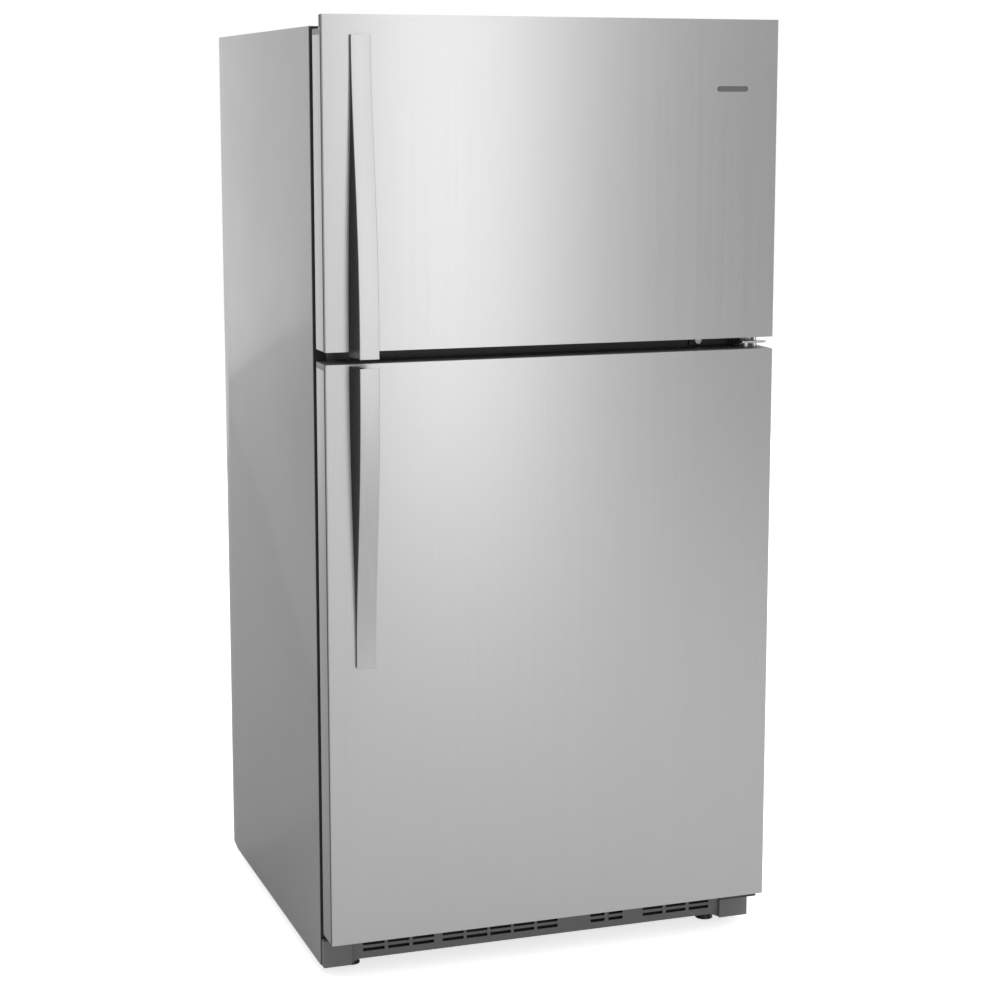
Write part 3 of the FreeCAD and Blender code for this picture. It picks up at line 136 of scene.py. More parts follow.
# %% [markdown]
# ## Brushed stainless steel
# Sheet steel is drawn under an abrasive belt, which leaves hair-thin scratches all one way. They scatter
# light sideways, so a lamp becomes a soft pale band and never a sharp image. Two layers of stretched noise
# give the hairs: one thread-fine, and one a few millimetres wide that shows as faint streaks from afar.
# The belt marks are finer than the picture can show, so they are drawn about 0.6 mm apart.

# %% Brushed steel, grain upright
def brushed(name, colours, rough, hair_mm, streak):
    """Metal with upright hairs: noise squeezed across the grain and stretched along it."""
    finish = start(name)
    hair = pattern(finish, "ShaderNodeTexNoise", (hair_mm, hair_mm, 90.0), Detail=3.0, Roughness=0.6)
    band = pattern(finish, "ShaderNodeTexNoise", (7.0, 7.0, 900.0), Detail=2.0, Roughness=0.5)
    both = add(finish, "ShaderNodeMix", {"Factor": 0.4, "A": hair.outputs["Fac"], "B": band.outputs["Fac"]})
    tone = add(finish, "ShaderNodeMix", {"Factor": both.outputs[0], "A": linear(colours[0]),
                                         "B": linear(colours[1])}, data_type="RGBA")
    sheen = add(finish, "ShaderNodeMapRange", {"Value": both.outputs[0], "To Min": rough - streak,
                                               "To Max": rough + streak})
    relief = add(finish, "ShaderNodeBump", {"Height": hair.outputs["Fac"], "Distance": 0.004 * MM})
    shader = add(finish, "ShaderNodeBsdfPrincipled", {
        "Base Color": tone.outputs["Result"], "Metallic": 1.0, "Roughness": sheen.outputs[0],
        "Normal": relief.outputs[0]})
    add(finish, "ShaderNodeOutputMaterial", {"Surface": shader.outputs[0]})
    return finish


# Cold-rolled sheet, belt-brushed upright: lamps become soft upright bands, never sharp images.
stainless = brushed("stainless_steel_brushed", ("#b4b4b4", "#bebebe"), 0.34, 0.6, 0.05)
# The same sheet folded round the door's side, given a darker colour as painted shade: that side faces the
# dimmer side of the room.
shaded_steel = brushed("stainless_steel_brushed_painted_shade", ("#989898", "#a6a6a6"), 0.40, 0.6, 0.05)
# A narrow strip brushed more coarsely: a greyer face with hairs that can be seen one by one.
handle_steel = brushed("stainless_steel_brushed_handle", ("#a8a8a8", "#bcbcbc"), 0.36, 0.5, 0.07)
print("brushed steels made")

# %% [markdown]
# ## Enamel, plastics and rubber
# The cabinet is baked enamel over steel: smooth, with a faint orange peel about 2 mm across. Moulded
# plastics carry the mould's fine spark-eroded grain. One function covers both, because each is a colour
# that wanders a little, a sheen that wanders a little, and a shallow relief of a known size.

# %% Coated and moulded surfaces
def moulded(name, colours, rough, grain_mm, depth_mm, coat=0.0, see_through=0.0):
    """Painted, moulded or rubbery surface: grain of a real size, and slow drifts of tone and sheen."""
    finish = start(name)
    grain = pattern(finish, "ShaderNodeTexNoise", (grain_mm,) * 3, Detail=2.0, Roughness=0.5)
    drift = pattern(finish, "ShaderNodeTexNoise", (160.0,) * 3, Detail=2.0, Roughness=0.5)
    tone = add(finish, "ShaderNodeMix", {"Factor": drift.outputs["Fac"], "A": linear(colours[0]),
                                         "B": linear(colours[1])}, data_type="RGBA")
    sheen = add(finish, "ShaderNodeMapRange", {"Value": drift.outputs["Fac"], "To Min": rough - 0.04,
                                               "To Max": rough + 0.04})
    relief = add(finish, "ShaderNodeBump", {"Height": grain.outputs["Fac"], "Distance": depth_mm * MM})
    shader = add(finish, "ShaderNodeBsdfPrincipled", {
        "Base Color": tone.outputs["Result"], "Roughness": sheen.outputs[0], "Coat Weight": coat,
        "Coat Roughness": 0.12, "Transmission Weight": see_through, "IOR": 1.5, "Normal": relief.outputs[0]})
    add(finish, "ShaderNodeOutputMaterial", {"Surface": shader.outputs[0]})
    return finish


# Baked enamel on steel: an even mid grey whose orange peel breaks up the edges of reflections.
enamel = moulded("baked_enamel_on_steel", ("#909090", "#939393"), 0.36, 2.2, 0.02, coat=0.2)
# Vacuum-formed polystyrene: bright white and glossy, with soft waves where the sheet was drawn.
liner_white = moulded("polystyrene_vacuum_formed", ("#f1f2f2", "#f3f4f4"), 0.28, 3.0, 0.01, coat=0.2)
# Moulded white ABS: a warmer white than the liner, and less glossy.
white_plastic = moulded("abs_moulded_white", ("#ebedec", "#eff0ef"), 0.34, 0.8, 0.006)
# Grey ABS from a grained mould: a satin that hides scuffs on the doors' end caps.
cap_plastic = moulded("abs_moulded_grey", ("#6f7071", "#76777a"), 0.46, 0.7, 0.02)
# Polypropylene from a grained mould: softer and duller, for the grille and the rollers.
grille_plastic = moulded("polypropylene_moulded_grey", ("#6a6a6a", "#707070"), 0.52, 0.7, 0.025)
# Black ABS: a satin black that keeps a faint broad sheen.
black_plastic = moulded("abs_moulded_black", ("#161616", "#1c1c1d"), 0.38, 0.6, 0.012)
# Extruded soft PVC: matt, so the seals read as dark lines from any side. On the edge mouldings and the flange
# strip the same black is painted shade for the gaps beside the doors.
rubber = moulded("pvc_extruded_seal", ("#1d1d1e", "#232324"), 0.66, 0.9, 0.02)
# Foamed polyurethane: straw-coloured cells about 1.6 mm across, and no gloss.
foam = moulded("polyurethane_foam", ("#d8c48e", "#e2d09c"), 0.85, 1.6, 0.3)
# Black enamel on pressed steel: deeper and glossier than the plastics beside it.
black_enamel = moulded("baked_enamel_black", ("#101011", "#171718"), 0.30, 1.8, 0.02, coat=0.4)
# Steel wire dipped in molten polyethylene: thick, smooth and a little waxy.
wire_white = moulded("polyethylene_coated_wire", ("#e6e8e8", "#eceeee"), 0.40, 1.2, 0.01)
# Clear polystyrene, polished mould: bins and crispers show what is behind them, a little bent.
clear = moulded("polystyrene_moulded_clear", ("#eef4f6", "#f4f8f9"), 0.07, 25.0, 0.02, see_through=0.92)
# Frosted polystyrene: it spreads the lamp's light over the whole cover.
frosted = moulded("polystyrene_moulded_frosted", ("#f2f5f5", "#f7f8f8"), 0.45, 1.0, 0.02, see_through=0.55)
# Tempered float glass: flat and clear, and green where one looks along it.
glass = moulded("glass_tempered", ("#dff0ea", "#e6f4ef"), 0.05, 60.0, 0.005, see_through=1.0)
print("coated and moulded finishes made")

# %% [markdown]
# ## Galvanised sheet and plated brackets
# Hot-dip zinc freezes in flat crystals, each with its own grey, about 12 mm across on thin sheet. A
# Voronoi pattern is just that: cells, each with one random tone. Plated brackets are smoother and brighter,
# and mill-finish aluminium fins show the roll's direction.

# %% Zinc and aluminium
def spangled(name, colours, rough, cell_mm):
    """Zinc: one tone for each crystal, and a shallow step between neighbours."""
    finish = start(name)
    cells = pattern(finish, "ShaderNodeTexVoronoi", (cell_mm,) * 3)
    grey = add(finish, "ShaderNodeSeparateColor", {"Color": cells.outputs["Color"]})
    tone = add(finish, "ShaderNodeMix", {"Factor": grey.outputs[0], "A": linear(colours[0]),
                                         "B": linear(colours[1])}, data_type="RGBA")
    sheen = add(finish, "ShaderNodeMapRange", {"Value": grey.outputs[0], "To Min": rough - 0.08,
                                               "To Max": rough + 0.08})
    relief = add(finish, "ShaderNodeBump", {"Height": grey.outputs[0], "Distance": 0.01 * MM})
    shader = add(finish, "ShaderNodeBsdfPrincipled", {
        "Base Color": tone.outputs["Result"], "Metallic": 1.0, "Roughness": sheen.outputs[0],
        "Normal": relief.outputs[0]})
    add(finish, "ShaderNodeOutputMaterial", {"Surface": shader.outputs[0]})
    return finish


# Hot-dip galvanised sheet: a patchwork of dull and bright crystals.
galvanised = spangled("steel_galvanised", ("#9da0a2", "#b4b7b8"), 0.46, 12.0)
# Electroplated zinc on brackets and screws: fine-grained, so smoother and brighter.
zinc = spangled("steel_zinc_plated", ("#cacaca", "#d0d0d0"), 0.26, 3.0)
# Rolled aluminium as it leaves the mill: pale, with the roll's fine lines.
aluminium = brushed("aluminium_mill_finish", ("#c2c4c6", "#d0d2d3"), 0.35, 0.8, 0.05)
# Punched motor laminations: darker steel with the stack's lines.
motor_steel = brushed("steel_laminated", ("#7c7c7c", "#909090"), 0.45, 0.5, 0.06)

FINISHES = {
    "cabinet_paint": enamel, "galvanised": galvanised, "dark_plastic": black_plastic,
    "grille_plastic": grille_plastic, "white_liner": liner_white, "foam": foam, "stainless": stainless,
    "handle_steel": handle_steel, "cap_plastic": cap_plastic, "gasket_rubber": rubber, "zinc_plate": zinc,
    "white_wire": wire_white, "white_plastic": white_plastic, "shelf_glass": glass, "clear_plastic": clear,
    "coil_aluminium": aluminium, "fan_plastic": black_plastic, "motor_steel": motor_steel,
    "black_enamel": black_enamel, "leg_plastic": black_plastic, "roller_plastic": grille_plastic,
}
slot_of = {part["node"]: part["material_slot"] for part in frame["record"]["subparts"]}
body_of = {node: body for body, nodes in frame["record"]["behaviour"]["bodies"].items() for node in nodes}
for node, item in frame["nodes"].items():
    for place in item.material_slots:
        place.material = FINISHES[slot_of[node]]
frame["nodes"]["lamp_cover"].material_slots[0].material = frosted
print(len(FINISHES), "finishes given to", len(frame["nodes"]), "nodes")

# %% [markdown]
# ## From numbers to a surface
# A sheet of metal or a moulding is a surface over two parameters, so it is worked out as one numpy array
# of points and handed to Blender in a single call. `surface` joins neighbouring points with quads; it can
# close the grid on itself for a tube, and close the ends with a cap.

# %% Build and finish a piece
def surface(name, points, loop=False, caps=False):
    """Quads through points[i, j], or points[k, i, j] for k separate patches.
    loop joins the last j to the first, and caps fill the first and the last i."""
    rows, cols = points.shape[-3:-1]
    grids = points.reshape(-1, rows, cols, 3)
    index = np.arange(grids.size // 3).reshape(-1, rows, cols)
    wrap = np.concatenate([index, index[:, :, :1]], axis=2) if loop else index
    quads = [wrap[:, :-1, :-1], wrap[:, :-1, 1:], wrap[:, 1:, 1:], wrap[:, 1:, :-1]]
    faces = np.stack(quads, axis=-1).reshape(-1, 4).tolist()
    if caps:
        faces += index[:, 0, ::-1].tolist() + index[:, -1].tolist()
    mesh = bpy.data.meshes.new(name)
    mesh.from_pydata(grids.reshape(-1, 3).tolist(), [], faces)
    return mesh


def piece(name, mesh, finish, body, stands_for=(), ease=0.0, steps=2, wall=0.0, facing=None):
    """A finished object, riding on its body: faces outwards, then a wall and eased edges if asked for.
    An open sheet faces the way it is told to; anything else faces out if its volume is positive."""
    work = bmesh.new()
    work.from_mesh(mesh)
    bmesh.ops.remove_doubles(work, verts=work.verts, dist=0.01 * MM)
    work.normal_update()
    if facing:
        outward = sum(face.normal.dot(facing) * face.calc_area() for face in work.faces)
    else:
        outward = work.calc_volume(signed=True)
    if outward < 0:
        bmesh.ops.reverse_faces(work, faces=work.faces)
    work.to_mesh(mesh)
    work.free()
    obj = bpy.data.objects.new(name, mesh)
    bpy.context.scene.collection.objects.link(obj)
    mesh.materials.clear()
    mesh.materials.append(finish)
    if wall:
        sheet = obj.modifiers.new("wall", "SOLIDIFY")
        sheet.thickness = abs(wall)
        sheet.offset = -math.copysign(1, wall)
        sheet.use_even_offset = True
    if ease:
        edge = obj.modifiers.new("ease", "BEVEL")
        edge.width = ease
        edge.segments = steps
        edge.limit_method = "ANGLE"
        edge.angle_limit = SHARP
        edge.harden_normals = True
    mesh.polygons.foreach_set("use_smooth", np.ones(len(mesh.polygons), dtype=bool))
    mesh.set_sharp_from_angle(angle=SHARP)
    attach(obj, body)
    if stands_for:
        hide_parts(*stands_for)
    return obj


def eased(node, ease_mm):
    """A node's own shape with its points merged, its flat faces joined and its edges rounded."""
    mesh = frame["nodes"][node].data.copy()
    work = bmesh.new()
    work.from_mesh(mesh)
    bmesh.ops.remove_doubles(work, verts=work.verts, dist=0.01 * MM)
    bmesh.ops.dissolve_limit(work, angle_limit=math.radians(1), verts=work.verts, edges=work.edges)
    work.to_mesh(mesh)
    work.free()
    return piece(node + "_eased", mesh, FINISHES[slot_of[node]], body_of[node], [node],
                 ease_mm * MM)


# %% [markdown]
# ## Parts that only need softer edges
# A moulding never has a knife edge: the tool's corners are rounded, and that round catches a thin line of
# light. These nodes already have the right shape, so each is copied, merged and given a small bevel.

# %% Ease the edges of the moulded and bent parts
EASED = {
    "toe_grille": 0.9, "freezer_door_caps": 1.2, "fridge_door_caps": 1.2, "hinge_cover": 1.4,
    "center_hinge": 0.5, "bottom_hinge": 0.5, "top_hinge": 0.5, "hinge_screws": 0.5, "mullion_rail": 0.4,
    "freezer_bins": 0.9, "fridge_bins": 0.9, "dairy_bin": 0.8, "dairy_lid": 0.7, "crisper_left": 0.9,
    "crisper_right": 0.9, "shelf_frames": 1.2, "control_housing": 0.9, "temperature_dial": 0.8,
    "evaporator_cover": 0.7, "machine_cover": 0.4, "base_pan": 0.5, "roller_brackets": 0.5,
    "rear_roller_left": 1.2, "rear_roller_right": 1.2, "leveling_leg_left": 0.8, "leveling_leg_right": 0.8,
    "cord_gland": 0.6,
}
for node, ease_mm in EASED.items():
    eased(node, ease_mm)
print(len(EASED), "nodes eased")

# %% [markdown]
# ## Outlines with round corners
# Bent sheet and extruded seals are one outline carried along a line. An outline here is a few corner
# points, each with its own bend radius. Each bend is an arc that touches both of its runs.

# %% Outline of straight runs and arcs
def bent(corners, radii, arc_points):
    """Points along straight runs whose corners are arcs tangent to both runs."""
    corners = np.asarray(corners, dtype=float)
    parts = [corners[:1]]
    for before, corner, after, radius in zip(corners[:-2], corners[1:-1], corners[2:], radii):
        back = (before - corner) / np.linalg.norm(before - corner)
        ahead = (after - corner) / np.linalg.norm(after - corner)
        half = math.acos(float(np.clip(back @ ahead, -1, 1))) / 2
        middle = (back + ahead) / np.linalg.norm(back + ahead)
        center = corner + middle * radius / math.sin(half)
        first = corner + back * radius / math.tan(half) - center
        last = corner + ahead * radius / math.tan(half) - center
        t = np.linspace(0, 1, arc_points)[:, None]
        turn = math.pi - 2 * half
        parts.append(center + (np.sin((1 - t) * turn) * first + np.sin(t * turn) * last) / math.sin(turn))
    parts.append(corners[-1:])
    return np.concatenate(parts)


def carried(outline, axis, stations):
    """Grid of an outline in the two other axes, repeated at each station along one axis."""
    others = [a for a in range(3) if a != axis]
    points = np.empty((len(stations), len(outline), 3))
    points[..., axis] = np.asarray(stations)[:, None]
    points[..., others[0]] = outline[:, 0]
    points[..., others[1]] = outline[:, 1]
    return points


# %% [markdown]
# ## The doors' steel faces
# A door face is one blank, flat in front and folded a few millimetres round both upright edges. A dark
# moulding closes the fold and keeps it off the pale steel strip that covers the door's side. Its black is
# painted shade for the shadow in the gap between face and strip. That dark line is what makes the face look
# like a separate sheet and not like a block, so it is a piece with real steps.

# %% Faces, edge mouldings and side strips
FOLD = 2.2 * MM
FOLD_RADIUS = 1.6 * MM
MOULDING_END = 11 * MM
LIP_DEPTH = 20 * MM


def door_face(name, low, high, body, node):
    """Front sheet: an outline in plan with a small bend at both edges, carried up the door."""
    half = DOOR_HALF
    back = DOOR_FRONT + FOLD
    plan = [(-half, back), (-half, DOOR_FRONT), (half, DOOR_FRONT), (half, back)]
    outline = bent(plan, [FOLD_RADIUS, FOLD_RADIUS], 7)
    mesh = surface(name, carried(outline, 2, np.linspace(low, high, 5)))
    return piece(name, mesh, stainless, body, [node], 0.3 * MM, 2, wall=0.9 * MM)


def side_band(name, side, x, front, back, low, high, finish, radius):
    """Channel on a door's side: two short legs and a flat, with round bends, carried up the door."""
    inner = x - 2.5 * MM
    outline = bent([(inner, front), (x, front), (x, back), (inner, back)], [radius, radius], 6) * [side, 1]
    mesh = surface(name, carried(outline, 2, np.linspace(low, high, 3)))
    return piece(name, mesh, finish, name.split("_")[0] + "_door", (), 0.2 * MM, 1, wall=0.8 * MM)


CAP = 10 * MM
for door in ("freezer", "fridge"):
    low, high = span(door + "_door_skin", 2)
    strip_top = span(door + "_door_foam", 2)[1]
    edge_top = {"left": high, "right": strip_top + CAP}
    door_face(door + "_door_face", low, high, door + "_door", door + "_door_skin")
    for side, hand in ((-1, "left"), (1, "right")):
        # The edge mouldings' black is painted shade, for the shadow in the gap between face and side strip.
        side_band(f"{door}_edge_moulding_{hand}", side, DOOR_HALF - 0.7 * MM, DOOR_FRONT + FOLD - 0.4 * MM,
                  DOOR_FRONT + MOULDING_END + 1 * MM, low + 0.5 * MM, edge_top[hand] - 0.5 * MM, rubber,
                  0.4 * MM)
        # The side strips take the darker steel: painted shade for the side that faces the dimmer side of the
        # room.
        side_band(f"{door}_side_strip_{hand}", side, DOOR_HALF - 0.2 * MM, DOOR_FRONT + MOULDING_END,
                  DOOR_BACK - 1 * MM, low + 1 * MM, strip_top, shaded_steel, 1.2 * MM)
print("door faces, mouldings and side strips made; the right moulding stops under the top hinge")

# %% [markdown]
# ## The freezer door's raised lip
# The freezer door's face stands 17 mm above the cabinet, and a rail 20 mm deep closes the space behind it.
# In front of the hinge the rail is only 4 mm deep, so that the door can swing. It is one stepped outline in
# plan, carried straight up, whose top edges are rounded like folded sheet.

# %% Rail behind the raised lip
def lip_rail():
    """Stepped outline in plan, carried from the door's end cap up to the lip's top."""
    y0 = DOOR_FRONT + 0.8 * MM
    deep = DOOR_FRONT + LIP_DEPTH + 0.4 * MM
    thin = DOOR_FRONT + 4.2 * MM
    step = span("top_hinge", 0)[0] - 3 * MM
    left = -DOOR_HALF + 0.8 * MM
    right = DOOR_HALF - 6 * MM
    plan = [(left, deep), (left, y0), (right, y0), (right, thin), (step, thin), (step, deep), (left, deep)]
    outline = bent(plan, [0.5 * MM] * 5, 4)[:-1]
    low, high = span("freezer_door_caps", 2)[1] - 22.5 * MM, span("freezer_door_skin", 2)[1] - 0.4 * MM
    mesh = surface("freezer_lip_rail", carried(outline, 2, [low, high]), loop=True, caps=True)
    return piece("freezer_lip_rail", mesh, stainless, "freezer_door", (), 0.9 * MM, 3)


lip_rail()
lip_low = span("freezer_door_foam", 2)[1] + 11 * MM
# The black end piece at the lip is painted shade too: it carries on the mouldings' dark line.
side_band("freezer_lip_end_left", -1, DOOR_HALF - 0.5 * MM, DOOR_FRONT + MOULDING_END, DOOR_FRONT + LIP_DEPTH,
          lip_low, span("freezer_door_skin", 2)[1] - 0.5 * MM, black_plastic, 0.4 * MM)
print("lip stands", round((span("freezer_door_skin", 2)[1] - CABINET_TOP) / MM, 1), "mm above the cabinet")

# %% [markdown]
# ## Handles
# Each handle is a steel strip that stands 46 mm off the door beside the gap, then sweeps down to the door
# as a stretched half cosine. A black web carries it from behind its left edge. The strip is very slightly
# crowned across its width, which is why its highlight has a soft edge.

# %% Strip and web of the two handles
REACH = 46 * MM
FAR_REACH = 8 * MM
FLATNESS = 1.25
STRIP_WIDTH = 34 * MM
STRIP_THICK = 3 * MM
CROWN = 0.3 * MM
WEB = 9 * MM
FLARE = 8 * MM


def stand_off(s):
    """Distance from the door at a share s of the length: half a cosine whose argument is pi s^1.25."""
    return FAR_REACH + (REACH - FAR_REACH) * (1 + np.cos(math.pi * s ** FLATNESS)) / 2


def handle(door, gap_end, far_end):
    """Strip: y = -(stand-off + crown) over length and width. Web: a closed outline at each height."""
    left = span(door + "_handle", 0)[0]
    s = np.linspace(0, 1, 73)[:, None]
    z = gap_end + (far_end - gap_end) * s
    t = np.linspace(0, 1, 9)[None, :]
    crown = CROWN * (1 - (2 * t - 1) ** 2)
    front = DOOR_FRONT - stand_off(s)
    points = np.stack(np.broadcast_arrays(left + STRIP_WIDTH * t, front + CROWN - crown, z), axis=-1)
    rear = points[:, ::-1] + [0, STRIP_THICK - CROWN, 0]
    rear[..., 1] = np.minimum(rear[..., 1], DOOR_FRONT - 1 * MM)
    mesh = surface(door + "_handle_strip", np.concatenate([points, rear], axis=1), loop=True, caps=True)
    piece(door + "_handle_strip", mesh, handle_steel, door + "_door", [door + "_handle"],
          0.7 * MM, 3)
    flare = FLARE * (stand_off(s) - FAR_REACH) / (REACH - FAR_REACH)
    near = front + STRIP_THICK - 0.4 * MM
    base = np.full_like(s, DOOR_FRONT)
    lean = np.linspace(0, 1, 5)[None, :]
    outer_x = left + 1.2 * MM - flare * lean ** 2
    outer_y = near + (base - near) * lean
    inner_x = left + WEB + 0 * lean
    web_x = np.concatenate([outer_x, inner_x[:, ::-1] + 0 * outer_x], axis=1)
    web_y = np.concatenate([outer_y, outer_y[:, ::-1]], axis=1)
    web = np.stack([web_x, web_y, np.broadcast_to(z, web_x.shape)], axis=-1)
    mesh = surface(door + "_handle_web", web, loop=True, caps=True)
    piece(door + "_handle_web", mesh, black_plastic, door + "_door", [door + "_handle_grip"],
          0.8 * MM, 2)


handle("freezer", *span("freezer_handle", 2))
handle("fridge", *span("fridge_handle", 2)[::-1])
print("handles stand off", REACH / MM, "mm beside the gap and", FAR_REACH / MM, "mm at the far end")

# %% [markdown]
# ## Frames and seals
# A magnetic seal is an extrusion: a foot on the door, a bellows, and a magnet pad on the cabinet. Its outline
# runs round a rectangle. `framed` makes one rounded rectangle for each point of an outline, smaller by that
# point's inset, so a whole frame is one array. The same function makes the rims of the cavities.

# %% Outline carried round a rectangle
PER_CORNER = 5


def framed(x_half, low, high, radius, inset, y):
    """One rounded rectangle for each inset and depth: its corner arcs have the radius less the inset."""
    turn = np.radians(np.concatenate([np.linspace(90 * k, 90 * k + 90, PER_CORNER) for k in range(4)]))
    side = np.repeat([1, -1, -1, 1], PER_CORNER)
    level = np.repeat([1, 1, -1, -1], PER_CORNER)
    inset = np.asarray(inset)[:, None]
    arc = np.maximum(radius - inset, 0.2 * MM)
    x = side * (x_half - inset - arc) + arc * np.cos(turn)
    z = (low + high) / 2 + level * ((high - low) / 2 - inset - arc) + arc * np.sin(turn)
    return np.stack(np.broadcast_arrays(x, np.asarray(y)[:, None], z), axis=-1)


def seal(door):
    """Bellows: a foot 18 mm wide, a waist 13 mm wide, and a magnet pad, closed on itself."""
    low, high = span(door + "_gasket", 2)
    y0, y1 = span(door + "_gasket", 1)
    inset = np.array([0, 0, 2.6, 2.6, 0.6, 0.6, 17.4, 17.4, 15.4, 15.4, 18, 18, 0]) * MM
    share = np.array([0, 0.2, 0.32, 0.5, 0.62, 1, 1, 0.62, 0.5, 0.32, 0.2, 0, 0])
    points = framed(span(door + "_gasket", 0)[1], low, high, 1 * MM, inset, y0 + (y1 - y0) * share)
    mesh = surface(door + "_seal", points, loop=True)
    piece(door + "_seal", mesh, rubber, door + "_door", [door + "_gasket"], 0.6 * MM, 2)


for door in ("freezer", "fridge"):
    seal(door)
print("seals made")

# %% [markdown]
# ## Inside of the doors
# A door's white inner face is vacuum formed: one sheet pulled over a mould, with a ridge all round that
# plugs the cavity. That is a height over the door's plane: zero outside, 38 mm on the ridge, zero inside,
# with drafted walls between. The grid is dense only where the height changes.

# %% Formed inner faces
DRAFT = 7 * MM
RIDGE_OUTER = CAVITY_HALF - 16 * MM
RIDGE = 25 * MM
RIDGE_HEIGHT = DOOR_INNER - DOOR_BACK - 2 * MM


def smooth(value):
    """0 below 0, 1 above 1, and 3 v^2 - 2 v^3 between."""
    v = np.clip(value, 0, 1)
    return v * v * (3 - 2 * v)


def beyond(x, z, x_half, z_half, radius):
    """Distance outside a rounded rectangle: to its corner circles at the corners, to its sides elsewhere."""
    a = np.abs(x) - (x_half - radius)
    b = np.abs(z) - (z_half - radius)
    return np.hypot(np.maximum(a, 0), np.maximum(b, 0)) + np.minimum(np.maximum(a, b), 0) - radius


def inner_face(door, cavity_low, cavity_high):
    """Height = ridge height * step in from the outer rectangle * step out from the inner one."""
    z0, z1 = span(door + "_door_liner", 2)
    middle = (cavity_low + cavity_high) / 2
    z_half = (cavity_high - cavity_low) / 2 - 16 * MM
    dense = np.linspace(0, RIDGE + 2 * MM, 22)
    x = np.sort(np.concatenate([[DOOR_HALF - 1 * MM, 0], RIDGE_OUTER - dense]))
    x = np.concatenate([-x[:0:-1], x])
    inner = np.sort(z_half - dense)
    z = np.concatenate([[z0 - middle], -inner[::-1], [0], inner, [z1 - middle]])
    across, up = np.meshgrid(x, z, indexing="ij")
    outside = beyond(across, up, RIDGE_OUTER, z_half, 26 * MM)
    inside = beyond(across, up, RIDGE_OUTER - RIDGE, z_half - RIDGE, 12 * MM)
    height = RIDGE_HEIGHT * smooth(-outside / DRAFT) * smooth(inside / DRAFT)
    points = np.stack([across, DOOR_BACK + 2 * MM + height, up + middle], axis=-1)
    mesh = surface(door + "_inner_face", points)
    piece(door + "_inner_face", mesh, liner_white, door + "_door", [door + "_door_liner"],
          wall=1.8 * MM, facing=(0, 1, 0))
    frame["nodes"][door + "_door_foam"].material_slots[0].material = liner_white


inner_face("freezer", FREEZER_LOW, FREEZER_HIGH)
inner_face("fridge", FRIDGE_LOW, FRIDGE_HIGH)
print("inner faces formed,", round(RIDGE_HEIGHT / MM, 1), "mm ridge with", DRAFT / MM, "mm of draft")

# %% [markdown]
# ## Cabinet wrap
# The cabinet's two sides and top are one steel sheet, bent over the edges and turned in at the front. Each
# station from the back to the front is a U outline. Round the front edge the outlines shrink along a
# quarter circle, and then they run in flat as the flange that the seals close on.

# %% U-shaped wrap
BEND = 1.5 * MM
REAR_CUT = (32 * MM, 7 * MM)
CABINET_SHEET = 1.2 * MM


def cabinet_wrap():
    """U outlines whose inset follows the bend: radius times one less the sine, then out to the flange."""
    turn = np.radians(np.linspace(0, 90, 6))
    flange = CABINET_HALF - span("mullion_rail", 0)[1]
    roof = CABINET_TOP - FREEZER_HIGH - 5 * MM
    rear = span("back_panel", 1)[0]
    bend = CABINET_FRONT + BEND * (1 - np.sin(turn))
    y = np.concatenate([[rear, rear - REAR_CUT[0]], bend, [CABINET_FRONT]])
    inset = np.concatenate([[0, 0], BEND * (1 - np.cos(turn)), [flange]])
    rows = []
    for place, a in zip(y, inset):
        half = CABINET_HALF - a
        top = CABINET_TOP - (a if a < flange else roof)
        foot = CABINET_FOOT + (REAR_CUT[1] if place == rear else 0)
        outline = bent([(-half, foot), (-half, top), (half, top), (half, foot)], [BEND, BEND], 6)
        rows.append(np.column_stack([outline[:, 0], np.full(len(outline), place), outline[:, 1]]))
    mesh = surface("cabinet_wrap", np.stack(rows))
    piece("cabinet_wrap", mesh, enamel, "cabinet", ["cabinet_shell"], wall=CABINET_SHEET)


cabinet_wrap()


# The flange strip's black is painted shade: a dark sheet where the gap between the doors and the cabinet
# shows shadow.
FLANGE_SHADE_LINES = ((0.4, 0.8), (-0.3, 1.0), (-0.3, 24.0), (0.4, 24.2))


def flange_shade_strip():
    """Dark U strip on the flange, from 0.8 mm inside the bend to the seals, as painted shade for the gap
    round the doors: depth and inset of each line.
    """
    rows = []
    for y, a in FLANGE_SHADE_LINES:
        half = CABINET_HALF - a * MM
        top = CABINET_TOP - a * MM
        corners = [(-half, CABINET_FOOT), (-half, top), (half, top), (half, CABINET_FOOT)]
        outline = bent(corners, [BEND, BEND], 6)
        depth = np.full(len(outline), CABINET_FRONT + y * MM)
        rows.append(np.column_stack([outline[:, 0], depth, outline[:, 1]]))
    mesh = surface("flange_shade_strip", np.stack(rows))
    piece("flange_shade_strip", mesh, rubber, "cabinet", facing=(0, -1, 0))


flange_shade_strip()
print("wrap", round(2 * CABINET_HALF, 3), "m wide,", round(CABINET_TOP, 3), "m high")

# %% [markdown]
# ## Back of the cabinet
# A large flat sheet drums and buckles, so the press gives it a raised field and long beads. Both are a
# height over the plane, 1.5 mm at most. Hexagonal screws with a washer face hold the sheet and the lower
# cover, and a hood stands over each slot of the cover, to keep drips out and let warm air pass.

# %% Pressed back panel
PRESS = 1.5 * MM
FIELD_SIDE = 34 * MM
FIELD_END = 40 * MM
FIELD_CORNER = 40 * MM
FIELD_SLOPE = 14 * MM
BEAD_PLACES = (-0.24, -0.08, 0.08, 0.24)
BEAD_HALF = 17 * MM
BEAD_END = 150 * MM


def bead(distance, half_width):
    """1 on a line, 0 beyond its half width, smooth between."""
    return smooth(1 - np.abs(distance) / half_width)


